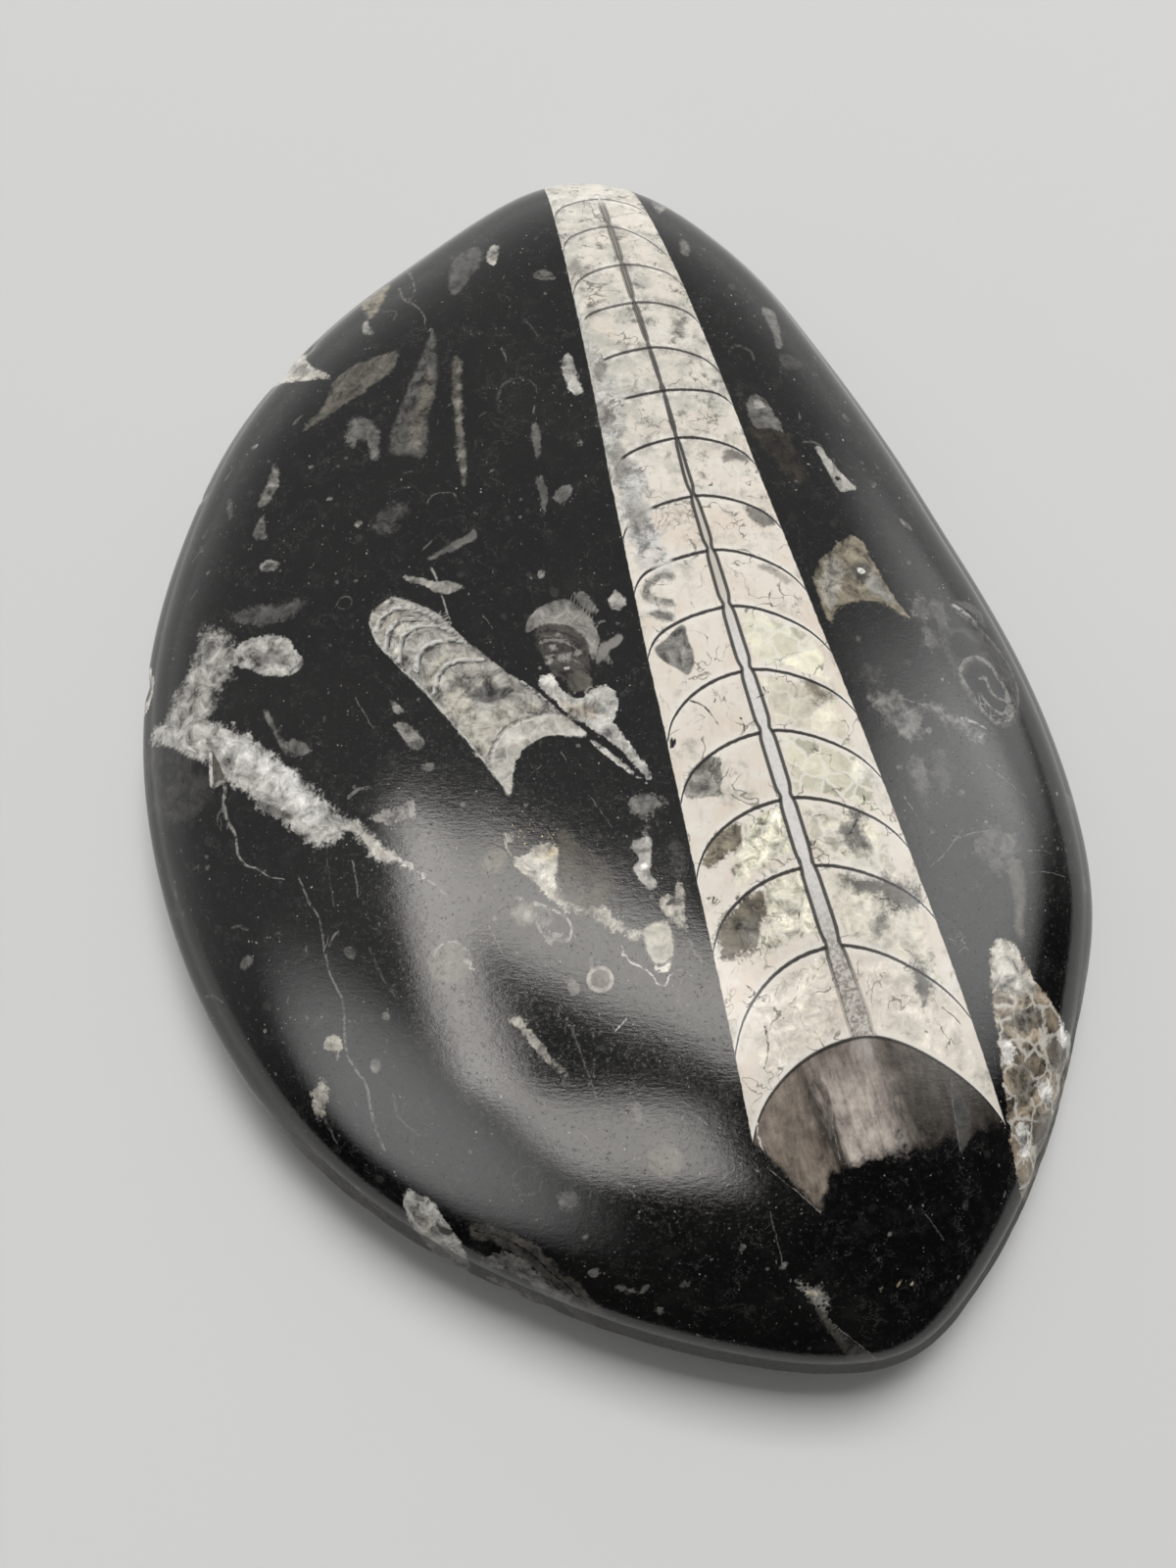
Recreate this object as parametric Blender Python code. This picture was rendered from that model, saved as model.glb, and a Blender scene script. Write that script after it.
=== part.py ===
"""A polished orthoceras stone: one slab of black fossil limestone, egg-shaped in plan, with a gently domed
polished top, a rounded rim, a ground flat along one stretch of the rim, and an underside that turns in to a
flat base.

Run with: blender --background --python part.py
Metres, +Z up. The slab lies on Z = 0, centred on X = Y = 0, and its blunt end points to +Y.
The fossils are sawn and polished flush with the stone, so the solid has none of them raised.
"""

import math

import bmesh
import bpy
import numpy as np

MM = 0.001

# The widest line round the slab, seen from above: direction from the middle in degrees
# (0 is +X, counted anticlockwise) and distance from the middle in millimetres.
OUTLINE = (
    (-176, 53.1), (-162, 53.4), (-148, 54.7), (-134, 56.9), (-121, 59.4), (-109, 61.7),
    (-98, 64.2), (-88, 67.5), (-79, 71.2), (-72, 74.2), (-66.5, 75.3), (-61, 73.6),
    (-54, 70.3), (-45, 65.9), (-36, 62.0), (-26, 58.7), (-14, 54.0), (0, 49.4),
    (13, 46.7), (26, 45.7), (38, 46.8), (50, 49.7), (61, 54.4), (70, 60.0),
    (78, 65.4), (85, 69.9), (91, 72.0), (97, 71.5), (104, 68.3), (112, 64.6),
    (121, 61.9), (132, 59.2), (144, 56.9), (156, 54.7), (169, 53.5),
)

BASE_SHARE = 0.83  # the flat base's outline, as a share of the widest line
BASE_TURN = math.radians(68)  # how far the underside has turned inward where it meets the base
WIDEST_HEIGHT = 6.5 * MM  # height of the widest line above the base
EDGE_HEIGHT = 3.0 * MM  # height of the rounded rim, or of the ground flat, above the widest line
EDGE_REACH = 1.9 * MM  # how far the rounded rim stands out past the polished top
FLAT_REACH = 1.7 * MM  # the same for the ground flat, which is steep and straight
TOP_RISE = 9.2 * MM  # rise of the dome above the rim
DOME_SPREAD = 3.0  # a larger power keeps the dome flatter out to the rim
DOME_SHOULDER = 0.53  # a smaller power makes a squarer shoulder
DOME_CUT = 0.985  # the share of the full dome that is used, so that it meets the rim at about 45 degrees

FLAT_MIDDLE = math.radians(-80)  # direction of the middle of the ground flat
FLAT_HALF = math.radians(36)  # half the angle that it runs for at its full width
FLAT_FADE = math.radians(16)  # the angle over which it fades into the rounded rim

SPOKES = 96  # corners round each ring
TOP_RINGS = (0.09, 0.2, 0.31, 0.42, 0.52, 0.61, 0.69, 0.76, 0.82, 0.87, 0.91, 0.94, 0.965, 0.985, 1.0)
EDGE_RINGS = (0.22, 0.45, 0.7, 1.0)
UNDERSIDE_RINGS = (0.2, 0.4, 0.6, 0.8, 1.0)

STONE_BLACK = (0.022, 0.022, 0.024)
STONE_ROUGHNESS = 0.16


def clear_scene():
    for thing in list(bpy.data.objects):
        bpy.data.objects.remove(thing, do_unlink=True)


def smooth_loop(points, directions):
    """The outline's distance in each direction, along a closed cubic spline through its points."""
    knots = np.radians([p[0] for p in points])
    values = np.array([p[1] for p in points]) * MM
    count = len(knots)
    gaps = np.diff(np.append(knots, knots[0] + 2 * math.pi))
    slopes = np.diff(np.append(values, values[0])) / gaps
    matrix = np.zeros((count, count))
    target = np.zeros(count)
    for i in range(count):
        before = (i - 1) % count
        matrix[i, before] = gaps[before]
        matrix[i, i] = 2 * (gaps[before] + gaps[i])
        matrix[i, (i + 1) % count] = gaps[i]
        target[i] = 6 * (slopes[i] - slopes[before])
    bend = np.linalg.solve(matrix, target)
    turned = (directions - knots[0]) % (2 * math.pi)
    part = np.searchsorted(knots - knots[0], turned, side="right") - 1
    after = (part + 1) % count
    gap = gaps[part]
    left = turned - (knots[part] - knots[0])
    right = gap - left
    curve = (bend[part] * right**3 + bend[after] * left**3) / (6 * gap)
    curve += (values[part] / gap - bend[part] * gap / 6) * right
    curve += (values[after] / gap - bend[after] * gap / 6) * left
    return curve


def flat_share(directions):
    """1 along the ground flat, 0 along the rounded rim, and a smooth step between."""
    away = np.abs((directions - FLAT_MIDDLE + math.pi) % (2 * math.pi) - math.pi)
    step = np.clip((FLAT_HALF + FLAT_FADE - away) / FLAT_FADE, 0, 1)
    return step * step * (3 - 2 * step)


def dome(share):
    """Height of the top above the rim, at a share of the way from the middle to the rim."""
    full = (1 - (DOME_CUT * share) ** DOME_SPREAD) ** DOME_SHOULDER
    rim = (1 - DOME_CUT**DOME_SPREAD) ** DOME_SHOULDER
    return TOP_RISE * (full - rim) / (1 - rim)


def slab_rings():
    """The slab's rings from the top's middle round the rim to the base, each an array of corners."""
    directions = np.arange(SPOKES) * 2 * math.pi / SPOKES
    widest = smooth_loop(OUTLINE, directions)
    flat = flat_share(directions)
    reach = flat * FLAT_REACH + (1 - flat) * EDGE_REACH
    rings = []

    def add_ring(radius, height):
        ring = np.column_stack((radius * np.cos(directions), radius * np.sin(directions)))
        rings.append(np.column_stack((ring, np.full(SPOKES, height))))

    top = WIDEST_HEIGHT + EDGE_HEIGHT
    for share in TOP_RINGS:
        add_ring((widest - reach) * share, top + dome(share))
    for share in EDGE_RINGS:
        outward = flat * share + (1 - flat) * math.sin(share * math.pi / 2)
        add_ring(widest - reach * (1 - outward), top - EDGE_HEIGHT * share)
    for share in UNDERSIDE_RINGS:
        turn = share * BASE_TURN
        inward = (1 - math.cos(turn)) / (1 - math.cos(BASE_TURN))
        down = math.sin(turn) / math.sin(BASE_TURN)
        add_ring(widest * (1 - (1 - BASE_SHARE) * inward), WIDEST_HEIGHT * (1 - down))
    return rings


def centred(rings):
    """The rings moved so that the slab's widest extents are centred on X = Y = 0."""
    corners = np.concatenate(rings)
    middle = (corners.min(axis=0) + corners.max(axis=0)) / 2
    middle[2] = 0
    return [ring - middle for ring in rings], middle


def build_slab(collection):
    rings, middle = centred(slab_rings())
    mesh = bpy.data.meshes.new("polished_stone")
    form = bmesh.new()
    peak = form.verts.new((-middle[0], -middle[1], WIDEST_HEIGHT + EDGE_HEIGHT + TOP_RISE))
    loops = [[form.verts.new(corner) for corner in ring] for ring in rings]
    for i in range(SPOKES):
        form.faces.new((peak, loops[0][i], loops[0][(i + 1) % SPOKES]))
    for upper, lower in zip(loops, loops[1:]):
        for i in range(SPOKES):
            after = (i + 1) % SPOKES
            form.faces.new((upper[i], lower[i], lower[after], upper[after]))
    form.faces.new(list(reversed(loops[-1])))
    form.normal_update()
    form.to_mesh(mesh)
    form.free()
    mesh.shade_smooth()
    mesh.set_sharp_from_angle(angle=math.radians(30))
    slab = bpy.data.objects.new("polished_stone", mesh)
    collection.objects.link(slab)
    return slab


def stone_material():
    material = bpy.data.materials.new("black_fossil_limestone")
    material.use_nodes = True
    shader = material.node_tree.nodes["Principled BSDF"]
    shader.inputs["Base Color"].default_value = (*STONE_BLACK, 1)
    shader.inputs["Roughness"].default_value = STONE_ROUGHNESS
    shader.inputs["Metallic"].default_value = 0
    return material


def main():
    clear_scene()
    parts = bpy.data.collections.new("orthoceras_fossil")
    bpy.context.scene.collection.children.link(parts)
    slab = build_slab(parts)
    slab.data.materials.append(stone_material())
    size = slab.dimensions / MM
    print(f"slab {size.x:.1f} x {size.y:.1f} x {size.z:.1f} mm, {len(slab.data.polygons)} faces")


main()
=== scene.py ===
# %% [markdown]
# # A polished orthoceras stone
#
# This lesson builds one slab of black fossil limestone: an egg-shaped, gently domed stone whose top was cut
# and polished until it went right through the shells buried in it. A long chambered cone crosses it, with
# smaller shells, white calcite and crumbs of sea lilies around it. Everything is flush with the polish, so
# the job splits in two: one smooth form, and the markings as colour in that form.
#
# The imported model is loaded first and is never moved. The dressed stone is laid over it later.

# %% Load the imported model
import math

import bpy
import numpy as np
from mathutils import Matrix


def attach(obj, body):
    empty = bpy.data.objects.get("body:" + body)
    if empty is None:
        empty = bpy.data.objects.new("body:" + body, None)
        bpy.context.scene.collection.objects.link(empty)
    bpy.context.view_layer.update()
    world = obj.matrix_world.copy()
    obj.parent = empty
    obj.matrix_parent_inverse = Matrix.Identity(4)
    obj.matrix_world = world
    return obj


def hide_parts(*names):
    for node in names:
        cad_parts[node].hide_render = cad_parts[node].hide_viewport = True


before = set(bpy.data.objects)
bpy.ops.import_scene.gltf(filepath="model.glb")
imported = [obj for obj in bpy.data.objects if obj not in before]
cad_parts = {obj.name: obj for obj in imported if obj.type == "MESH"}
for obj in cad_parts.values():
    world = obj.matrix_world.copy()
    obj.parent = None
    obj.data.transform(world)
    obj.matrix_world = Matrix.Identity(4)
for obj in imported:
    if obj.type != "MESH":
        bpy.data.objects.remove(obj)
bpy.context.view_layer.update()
MM = 0.001

# %% [markdown]
# ## The slab's outline
#
# Seen from above the stone is one closed curve. It could be drawn as a Bezier circle and dragged to shape,
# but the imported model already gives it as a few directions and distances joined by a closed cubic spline.
# The same rule is used here, because the fine stone must lie exactly where the plain one lies.

# %% Outline of the widest line
OUTLINE = (
    (-176, 53.1), (-162, 53.4), (-148, 54.7), (-134, 56.9), (-121, 59.4), (-109, 61.7),
    (-98, 64.2), (-88, 67.5), (-79, 71.2), (-72, 74.2), (-66.5, 75.3), (-61, 73.6),
    (-54, 70.3), (-45, 65.9), (-36, 62.0), (-26, 58.7), (-14, 54.0), (0, 49.4),
    (13, 46.7), (26, 45.7), (38, 46.8), (50, 49.7), (61, 54.4), (70, 60.0),
    (78, 65.4), (85, 69.9), (91, 72.0), (97, 71.5), (104, 68.3), (112, 64.6),
    (121, 61.9), (132, 59.2), (144, 56.9), (156, 54.7), (169, 53.5),
)


def closed_spline(points, directions):
    """Distance from the middle in each direction, along a closed cubic spline."""
    knots = np.radians([p[0] for p in points])
    values = np.array([p[1] for p in points])
    count = len(knots)
    gaps = np.diff(np.append(knots, knots[0] + 2 * math.pi))
    slopes = np.diff(np.append(values, values[0])) / gaps
    matrix = np.diag(2 * (np.roll(gaps, 1) + gaps))
    for i in range(count):
        matrix[i, i - 1] = gaps[i - 1]
        matrix[i, (i + 1) % count] = gaps[i]
    bend = np.linalg.solve(matrix, 6 * (slopes - np.roll(slopes, 1)))
    turned = (directions - knots[0]) % (2 * math.pi)
    part = np.searchsorted(knots - knots[0], turned, side="right") - 1
    after = (part + 1) % count
    gap = gaps[part]
    left = turned - (knots[part] - knots[0])
    right = gap - left
    curve = (bend[part] * right**3 + bend[after] * left**3) / (6 * gap)
    curve += (values[part] / gap - bend[part] * gap / 6) * right
    return curve + (values[after] / gap - bend[after] * gap / 6) * left


PLAIN_SPOKES = 96
plain_turns = np.arange(PLAIN_SPOKES) * 2 * math.pi / PLAIN_SPOKES
plain_reach = closed_spline(OUTLINE, plain_turns)
plain_plan = np.column_stack((np.cos(plain_turns), np.sin(plain_turns))) * plain_reach[:, None]
MIDDLE = (plain_plan.min(axis=0) + plain_plan.max(axis=0)) / 2
print("outline reaches", plain_reach.min().round(1), "to", plain_reach.max().round(1), "mm")

# %% [markdown]
# ## The profile: dome, rounded rim, ground flat, underside
#
# A polisher works the top on a flexible pad, so it is a low dome that turns down fastest near the rim. Part
# of the near rim was ground off as a steep flat. Below the widest line the stone turns in to a flat base.
# Sculpting could give all this too, but four short formulas keep every slice smooth and easy to change.

# %% Profile of the slab, in millimetres
BASE_SHARE = 0.83
BASE_TURN = math.radians(68)
WIDEST_HEIGHT = 6.5
EDGE_HEIGHT = 3.0
EDGE_REACH = 1.9
FLAT_REACH = 1.7
TOP_RISE = 9.2
DOME_SPREAD = 3.0
DOME_SHOULDER = 0.53
DOME_CUT = 0.985
FLAT_MIDDLE = math.radians(-80)
FLAT_HALF = math.radians(36)
FLAT_FADE = math.radians(16)
RIM_HEIGHT = WIDEST_HEIGHT + EDGE_HEIGHT


def flat_share(directions):
    """1 along the ground flat, 0 along the rounded rim, and a smooth step between."""
    away = np.abs((directions - FLAT_MIDDLE + math.pi) % (2 * math.pi) - math.pi)
    step = np.clip((FLAT_HALF + FLAT_FADE - away) / FLAT_FADE, 0, 1)
    return step * step * (3 - 2 * step)


def dome(share):
    """Height of the top above the rim, at a share of the way from the middle to the rim."""
    full = (1 - (DOME_CUT * share) ** DOME_SPREAD) ** DOME_SHOULDER
    rim = (1 - DOME_CUT**DOME_SPREAD) ** DOME_SHOULDER
    return TOP_RISE * (full - rim) / (1 - rim)


print("height of the middle:", RIM_HEIGHT + TOP_RISE, "mm")

# %% [markdown]
# ## A web of even squares
#
# Markings will be stored on the mesh's corners, so the corners must be evenly spread, about 0.4 mm apart.
# A fan of spokes would crowd its middle. Here a square grid is pressed into a disc ring by ring: each ring
# has eight more corners than the one inside it, every face is a quad, and there is no pole on top. Outside
# the disc, plain rings follow the same directions down the rim and under the stone.

# %% Corners of the web
WEB_STEPS = 132
EDGE_SHARES = (0.1, 0.22, 0.34, 0.46, 0.58, 0.7, 0.82, 0.92, 1.0)
UNDER_SHARES = (0.08, 0.18, 0.3, 0.44, 0.58, 0.72, 0.86, 1.0)
BASE_SHARES = (0.95, 0.82, 0.62, 0.36, 0.12)

line = np.arange(-WEB_STEPS, WEB_STEPS + 1)
grid_x, grid_y = (g.ravel().astype(float) for g in np.meshgrid(line, line))
wide = np.abs(grid_x) > np.abs(grid_y)
lead = np.where(wide, grid_x, grid_y)
follow = np.where(wide, grid_y, grid_x)
ratio = np.divide(follow, lead, out=np.zeros_like(lead), where=lead != 0)
grid_turn = np.where(wide, ratio * math.pi / 4, math.pi / 2 - ratio * math.pi / 4)
grid_turn = np.where(lead < 0, grid_turn + math.pi, grid_turn) % (2 * math.pi)
grid_share = np.abs(lead) / WEB_STEPS
rim_corners = np.flatnonzero(np.abs(lead) == WEB_STEPS)
rim_corners = rim_corners[np.argsort(grid_turn[rim_corners])]
spoke_turn = grid_turn[rim_corners]
SPOKES = len(spoke_turn)


def ring_points(radius, height, turns):
    height = np.broadcast_to(height, radius.shape)
    return np.column_stack((radius * np.cos(turns), radius * np.sin(turns), height))


def reach_of(turns):
    """The widest radius in each direction, and how far the rim stands out past the polished top."""
    flat = flat_share(turns)
    return closed_spline(OUTLINE, turns), flat * FLAT_REACH + (1 - flat) * EDGE_REACH


web_widest, web_reach = reach_of(grid_turn)
points = [ring_points((web_widest - web_reach) * grid_share, RIM_HEIGHT + dome(grid_share), grid_turn)]
widest, reach = reach_of(spoke_turn)
spoke_flat = flat_share(spoke_turn)
for share in EDGE_SHARES:
    outward = spoke_flat * share + (1 - spoke_flat) * math.sin(share * math.pi / 2)
    points.append(ring_points(widest - reach * (1 - outward), RIM_HEIGHT - EDGE_HEIGHT * share, spoke_turn))
for share in UNDER_SHARES:
    turn = share * BASE_TURN
    inward = (1 - math.cos(turn)) / (1 - math.cos(BASE_TURN))
    down = math.sin(turn) / math.sin(BASE_TURN)
    points.append(ring_points(widest * (1 - (1 - BASE_SHARE) * inward), WIDEST_HEIGHT * (1 - down), spoke_turn))
for share in BASE_SHARES:
    points.append(ring_points(widest * BASE_SHARE * share, 0.0, spoke_turn))
points.append(np.zeros((1, 3)))
points = np.concatenate(points)
WEB_COUNT = len(grid_turn)
TOP_COUNT = WEB_COUNT + len(EDGE_SHARES) * SPOKES
INLAID = TOP_COUNT + len(UNDER_SHARES) * SPOKES
print("web corners:", WEB_COUNT, "spokes:", SPOKES, "all corners:", len(points))

# %% Faces of the web
side = 2 * WEB_STEPS + 1
low = (np.arange(side - 1)[:, None] * side + np.arange(side - 1)[None, :]).ravel()
faces = [np.column_stack((low, low + 1, low + 1 + side, low + side))]
spoke = np.arange(SPOKES)
after = (spoke + 1) % SPOKES
inner = rim_corners
for number in range(len(EDGE_SHARES) + len(UNDER_SHARES) + len(BASE_SHARES)):
    outer = WEB_COUNT + number * SPOKES + spoke
    faces.append(np.column_stack((inner, outer, outer[after], inner[after])))
    inner = outer
quads = np.concatenate(faces)
fan = np.column_stack((inner, np.full(SPOKES, len(points) - 1), inner[after]))
print("faces:", len(quads), "quads and", len(fan), "triangles")

# %% [markdown]
# ## Laying the stone out flat
#
# A second, flat position for every corner (a UV map) lets other programs paint the finished colours onto the
# stone. Unwrapping by seams would work, but this form has one natural seam, its widest line. The top is laid
# out by the length of stone along each spoke, so the rim isn't squeezed, and the underside sits beside it.

# %% Flat layout of the top and the underside
RUN_STEPS = 80
ring_shares = np.linspace(0, 1, RUN_STEPS + 1)
spoke_radius = (widest - reach)[None, :] * ring_shares[:, None]
spoke_height = np.broadcast_to((RIM_HEIGHT + dome(ring_shares))[:, None], spoke_radius.shape)
steps = np.hypot(np.diff(spoke_radius, axis=0), np.diff(spoke_height, axis=0))
run = np.vstack((np.zeros(SPOKES), np.cumsum(steps, axis=0)))
spoke_of = np.searchsorted(spoke_turn, grid_turn - 1e-6) % SPOKES
place = np.clip(grid_share * RUN_STEPS, 0, RUN_STEPS - 0.001)
row = place.astype(int)
web_run = run[row, spoke_of] * (1 - (place - row)) + run[row + 1, spoke_of] * (place - row)
layout = [np.column_stack((web_run * np.cos(grid_turn), web_run * np.sin(grid_turn)))]
total = run[-1].copy()
previous = points[rim_corners]
for number in range(len(EDGE_SHARES)):
    ring = points[WEB_COUNT + number * SPOKES:][:SPOKES]
    total = total + np.linalg.norm(ring - previous, axis=1)
    layout.append(np.column_stack((total * np.cos(spoke_turn), total * np.sin(spoke_turn))))
    previous = ring
layout = np.concatenate(layout)
top_low, top_high = layout.min(axis=0), layout.max(axis=0)
SHEET, MARGIN, GAP = 0.985, 0.0075, 0.01
TOP_SCALE = SHEET / (top_high - top_low)[1]
top_flat = (layout - top_low) * TOP_SCALE + MARGIN
under_start = top_flat[:, 0].max() + GAP
under = np.column_stack((-points[:, 0], points[:, 1]))
under_low, under_high = under.min(axis=0), under.max(axis=0)
UNDER_SCALE = (SHEET - under_start) / (under_high - under_low)[0]
under_flat = (under - under_low) * UNDER_SCALE + (under_start, MARGIN)
print("top uses", top_flat.max(axis=0).round(3), "of the sheet; underside", round(UNDER_SCALE / TOP_SCALE, 2))

# %% [markdown]
# ## Markings as distances
#
# The markings are inlaid in the stone like marquetry: flush, crisp, and each with its own colour. Painting
# them as an image would blur at some size. Instead every corner of the web stores how far it lies inside or
# outside the nearest marking, in millimetres. The material turns that distance into an edge at render time,
# so an edge stays sharp between corners, and noise can fray it where the calcite is ragged.
#
# There are three beds, laid one over another. Each keeps an edge distance, a tint and a finish.

# %% Beds that hold the inlays
plan = points[:INLAID, :2].copy()
plan_x, plan_y = plan[:, 0], plan[:, 1]
FAR = -9.0
BEDS = ("bed", "shell", "fleck")
edges = {name: np.full(INLAID, FAR) for name in BEDS}
tints = {name: np.zeros((INLAID, 4)) for name in BEDS}
finishes = {name: np.zeros((INLAID, 4)) for name in BEDS}
made = {"inlays": 0, "veins": 0}


def trace(text):
    """Turn 'x,y x,y' in millimetres into an array of points."""
    return np.array([[float(v) for v in word.split(",")] for word in text.split()])


def rounded(path, closed, cuts=3):
    """Run a smooth curve through the points of a path."""
    count = len(path)
    if count < 3:
        return path
    if closed:
        ghost = np.vstack((path[-1:], path, path[:2]))
    else:
        ghost = np.vstack((2 * path[:1] - path[1:2], path, 2 * path[-1:] - path[-2:-1]))
    before, start, end, beyond = ghost[:-3], ghost[1:-2], ghost[2:-1], ghost[3:]
    parts = []
    for t in np.arange(cuts) / cuts:
        curve = 2 * start + (end - before) * t + (2 * before - 5 * start + 4 * end - beyond) * t**2
        parts.append((curve + (3 * start - before - 3 * end + beyond) * t**3) / 2)
    smooth = np.stack(parts, axis=1).reshape(-1, 2)
    return smooth if closed else np.vstack((smooth, path[-1:]))


def near(path, margin):
    """The web corners in the box round a path."""
    low, high = path.min(axis=0) - margin, path.max(axis=0) + margin
    inside = (plan_x > low[0]) & (plan_x < high[0]) & (plan_y > low[1]) & (plan_y < high[1])
    return np.flatnonzero(inside)


def inside_distance(path, x, y):
    """Distance to a closed path, above 0 inside it and below 0 outside."""
    best = np.full(len(x), 1e9)
    inside = np.zeros(len(x), bool)
    for (ax, ay), (bx, by) in zip(path, np.roll(path, -1, axis=0)):
        dx, dy = bx - ax, by - ay
        t = np.clip(((x - ax) * dx + (y - ay) * dy) / max(dx * dx + dy * dy, 1e-9), 0, 1)
        best = np.minimum(best, (x - ax - t * dx) ** 2 + (y - ay - t * dy) ** 2)
        crosses = (ay > y) != (by > y)
        inside ^= crosses & (x < ax + dx * (y - ay) / (dy if dy else 1e-9))
    return np.where(inside, 1, -1) * np.sqrt(best)


def lay(bed, where, distance, tint, opacity, soft, ragged, crystal, cloud):
    """Lay one inlay into a bed wherever it is nearer than what already lies there."""
    wins = distance > edges[bed][where]
    chosen = where[wins]
    edges[bed][chosen] = distance[wins]
    tints[bed][chosen] = (*tint, opacity)
    finishes[bed][chosen] = (soft, ragged, crystal, cloud)
    made["inlays"] += 1


def inlay(bed, tint, path, opacity=1.0, soft=0.14, ragged=0.3, crystal=0.0, cloud=0.8):
    """An inlay with a drawn outline."""
    where = near(path, 2.5 + soft)
    distance = inside_distance(path, plan_x[where], plan_y[where])
    lay(bed, where, distance, tint, opacity, soft, ragged, crystal, cloud)


def oval(x, y, wide, tall, lean):
    """Points round an oval, given by its middle, its half sizes and its turn in degrees."""
    turn = np.linspace(0, 2 * math.pi, 17)[:-1]
    a, b = wide * np.cos(turn), tall * np.sin(turn)
    c, s = math.cos(math.radians(lean)), math.sin(math.radians(lean))
    return np.column_stack((x + a * c - b * s, y + a * s + b * c))


print("beds for", INLAID, "corners:", ", ".join(BEDS))

# %% [markdown]
# ## Veins and scratches
#
# A vein thinner than the web's squares can't be filled in corner by corner. Its corners store the distance
# across the vein with a plus on one side and a minus on the other. Between two corners that value passes
# through zero exactly on the vein, however thin it is drawn.

# %% Thin veins
vein_across = np.full(INLAID, 9.0)
vein_half = np.full(INLAID, -1.0)
vein_tint = np.zeros((INLAID, 4))
vein_gap = np.full(INLAID, 9.0)


def vein(path, wide, tint, opacity=1.0, taper=None):
    """A thin line: its width in millimetres at the start, and at the end if it tapers."""
    path = rounded(path, False)
    where = near(path, 1.6)
    x, y = plan_x[where], plan_y[where]
    best = np.full(len(x), 1e9)
    across = np.zeros(len(x))
    along = np.zeros(len(x))
    over = np.zeros(len(x))
    pieces = len(path) - 1
    for i in range(pieces):
        (ax, ay), (bx, by) = path[i], path[i + 1]
        dx, dy = bx - ax, by - ay
        size = max(math.hypot(dx, dy), 1e-6)
        free = ((x - ax) * dx + (y - ay) * dy) / size**2
        t = np.clip(free, 0, 1)
        gap = np.hypot(x - ax - t * dx, y - ay - t * dy)
        closer = gap < best
        best[closer] = gap[closer]
        turned = ((x - ax) * dy - (y - ay) * dx) / size
        across[closer] = np.where(turned < 0, -gap, gap)[closer]
        along[closer] = ((i + t) / pieces)[closer]
        past = np.zeros(len(x))
        if i == 0:
            past = np.maximum(past, -free * size)
        if i == pieces - 1:
            past = np.maximum(past, (free - 1) * size)
        over[closer] = past[closer]
    half = (wide + ((wide if taper is None else taper) - wide) * along) / 2
    wins = best < vein_gap[where]
    chosen = where[wins]
    vein_gap[chosen] = best[wins]
    vein_across[chosen] = across[wins]
    vein_half[chosen] = (half - 2 * np.maximum(0, np.abs(across) - 0.45) - 2 * over)[wins]
    vein_tint[chosen] = (*tint, opacity)
    made["veins"] += 1


print("veins are ready")

# %% [markdown]
# ## Tints
#
# Calcite that filled a shell is anything from cream white to smoky grey, depending on how clear its crystals
# are and how much dark mud they hold. A small set of named tints keeps the whole stone in one family: a
# ladder from white to ink, then the warmer browns, then the greenish crystal of the main cone.

# %% Tints of the minerals, as linear reflectance
TINTS = {
    "snow": (0.74, 0.72, 0.69), "white": (0.68, 0.67, 0.645), "chalk": (0.61, 0.595, 0.56),
    "milk": (0.46, 0.45, 0.42), "pale": (0.36, 0.35, 0.325), "ash": (0.28, 0.27, 0.245),
    "smoke": (0.22, 0.213, 0.195), "slate": (0.15, 0.145, 0.135), "grey": (0.125, 0.121, 0.112),
    "dim": (0.072, 0.07, 0.065), "faint": (0.038, 0.037, 0.035), "ink": (0.006, 0.006, 0.006),
    "biscuit": (0.8, 0.75, 0.65), "cream": (0.7, 0.67, 0.62), "bone": (0.58, 0.55, 0.49),
    "horn": (0.5, 0.475, 0.425), "straw": (0.4, 0.375, 0.32), "fawn": (0.33, 0.31, 0.27),
    "amber": (0.59, 0.53, 0.42), "brown": (0.3, 0.25, 0.19), "mud": (0.2, 0.175, 0.13),
    "umber": (0.13, 0.113, 0.085), "soot": (0.1, 0.092, 0.077), "dusk": (0.056, 0.052, 0.045),
    "peat": (0.033, 0.027, 0.018), "gold": (0.58, 0.5, 0.33), "green": (0.765, 0.735, 0.585),
    "wax": (0.65, 0.62, 0.51),
}
print("tints:", len(TINTS))

# %% [markdown]
# ## Markings as a list
#
# Each marking could be one call with many arguments. A list of rows is shorter and easier to compare: the bed
# (or "vein"), the tint, the settings that differ from the usual ones, and after the colon the points in
# millimetres. A slash starts another outline with the same look. A row of "spot" holds ovals instead: middle,
# half sizes and turn.

# %% Reader for the list
def draw(rows):
    """Lay every marking of a list. A line that starts with two spaces goes on from the line before."""
    for row in rows.strip().replace("\n  ", " ").split("\n"):
        look, paths = row.split(":")
        kind, *words = look.split()
        bed = words.pop(0) if kind == "spot" else kind
        tint = TINTS[words.pop(0)]
        settings = {name: float(value) for name, value in (word.split("=") for word in words)}
        for path in map(trace, paths.split("/")):
            if kind == "vein":
                vein(path, tint=tint, **settings)
            elif kind == "spot":
                for middle_and_sizes in path:
                    inlay(bed, tint, oval(*middle_and_sizes), **settings)
            else:
                inlay(bed, tint, rounded(path, True), **settings)


print("the list knows", ", ".join(BEDS), "inlays, spots and veins")

# %% [markdown]
# ## The main cone
#
# An orthoceras shell is a long straight cone, divided by curved walls (septa) into chambers, with a tube
# (the siphuncle) through them all. It follows a rule, so it isn't drawn: each corner gets its place along
# the cone's axis and across it, and the septa are simple bowed curves in those terms.

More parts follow.
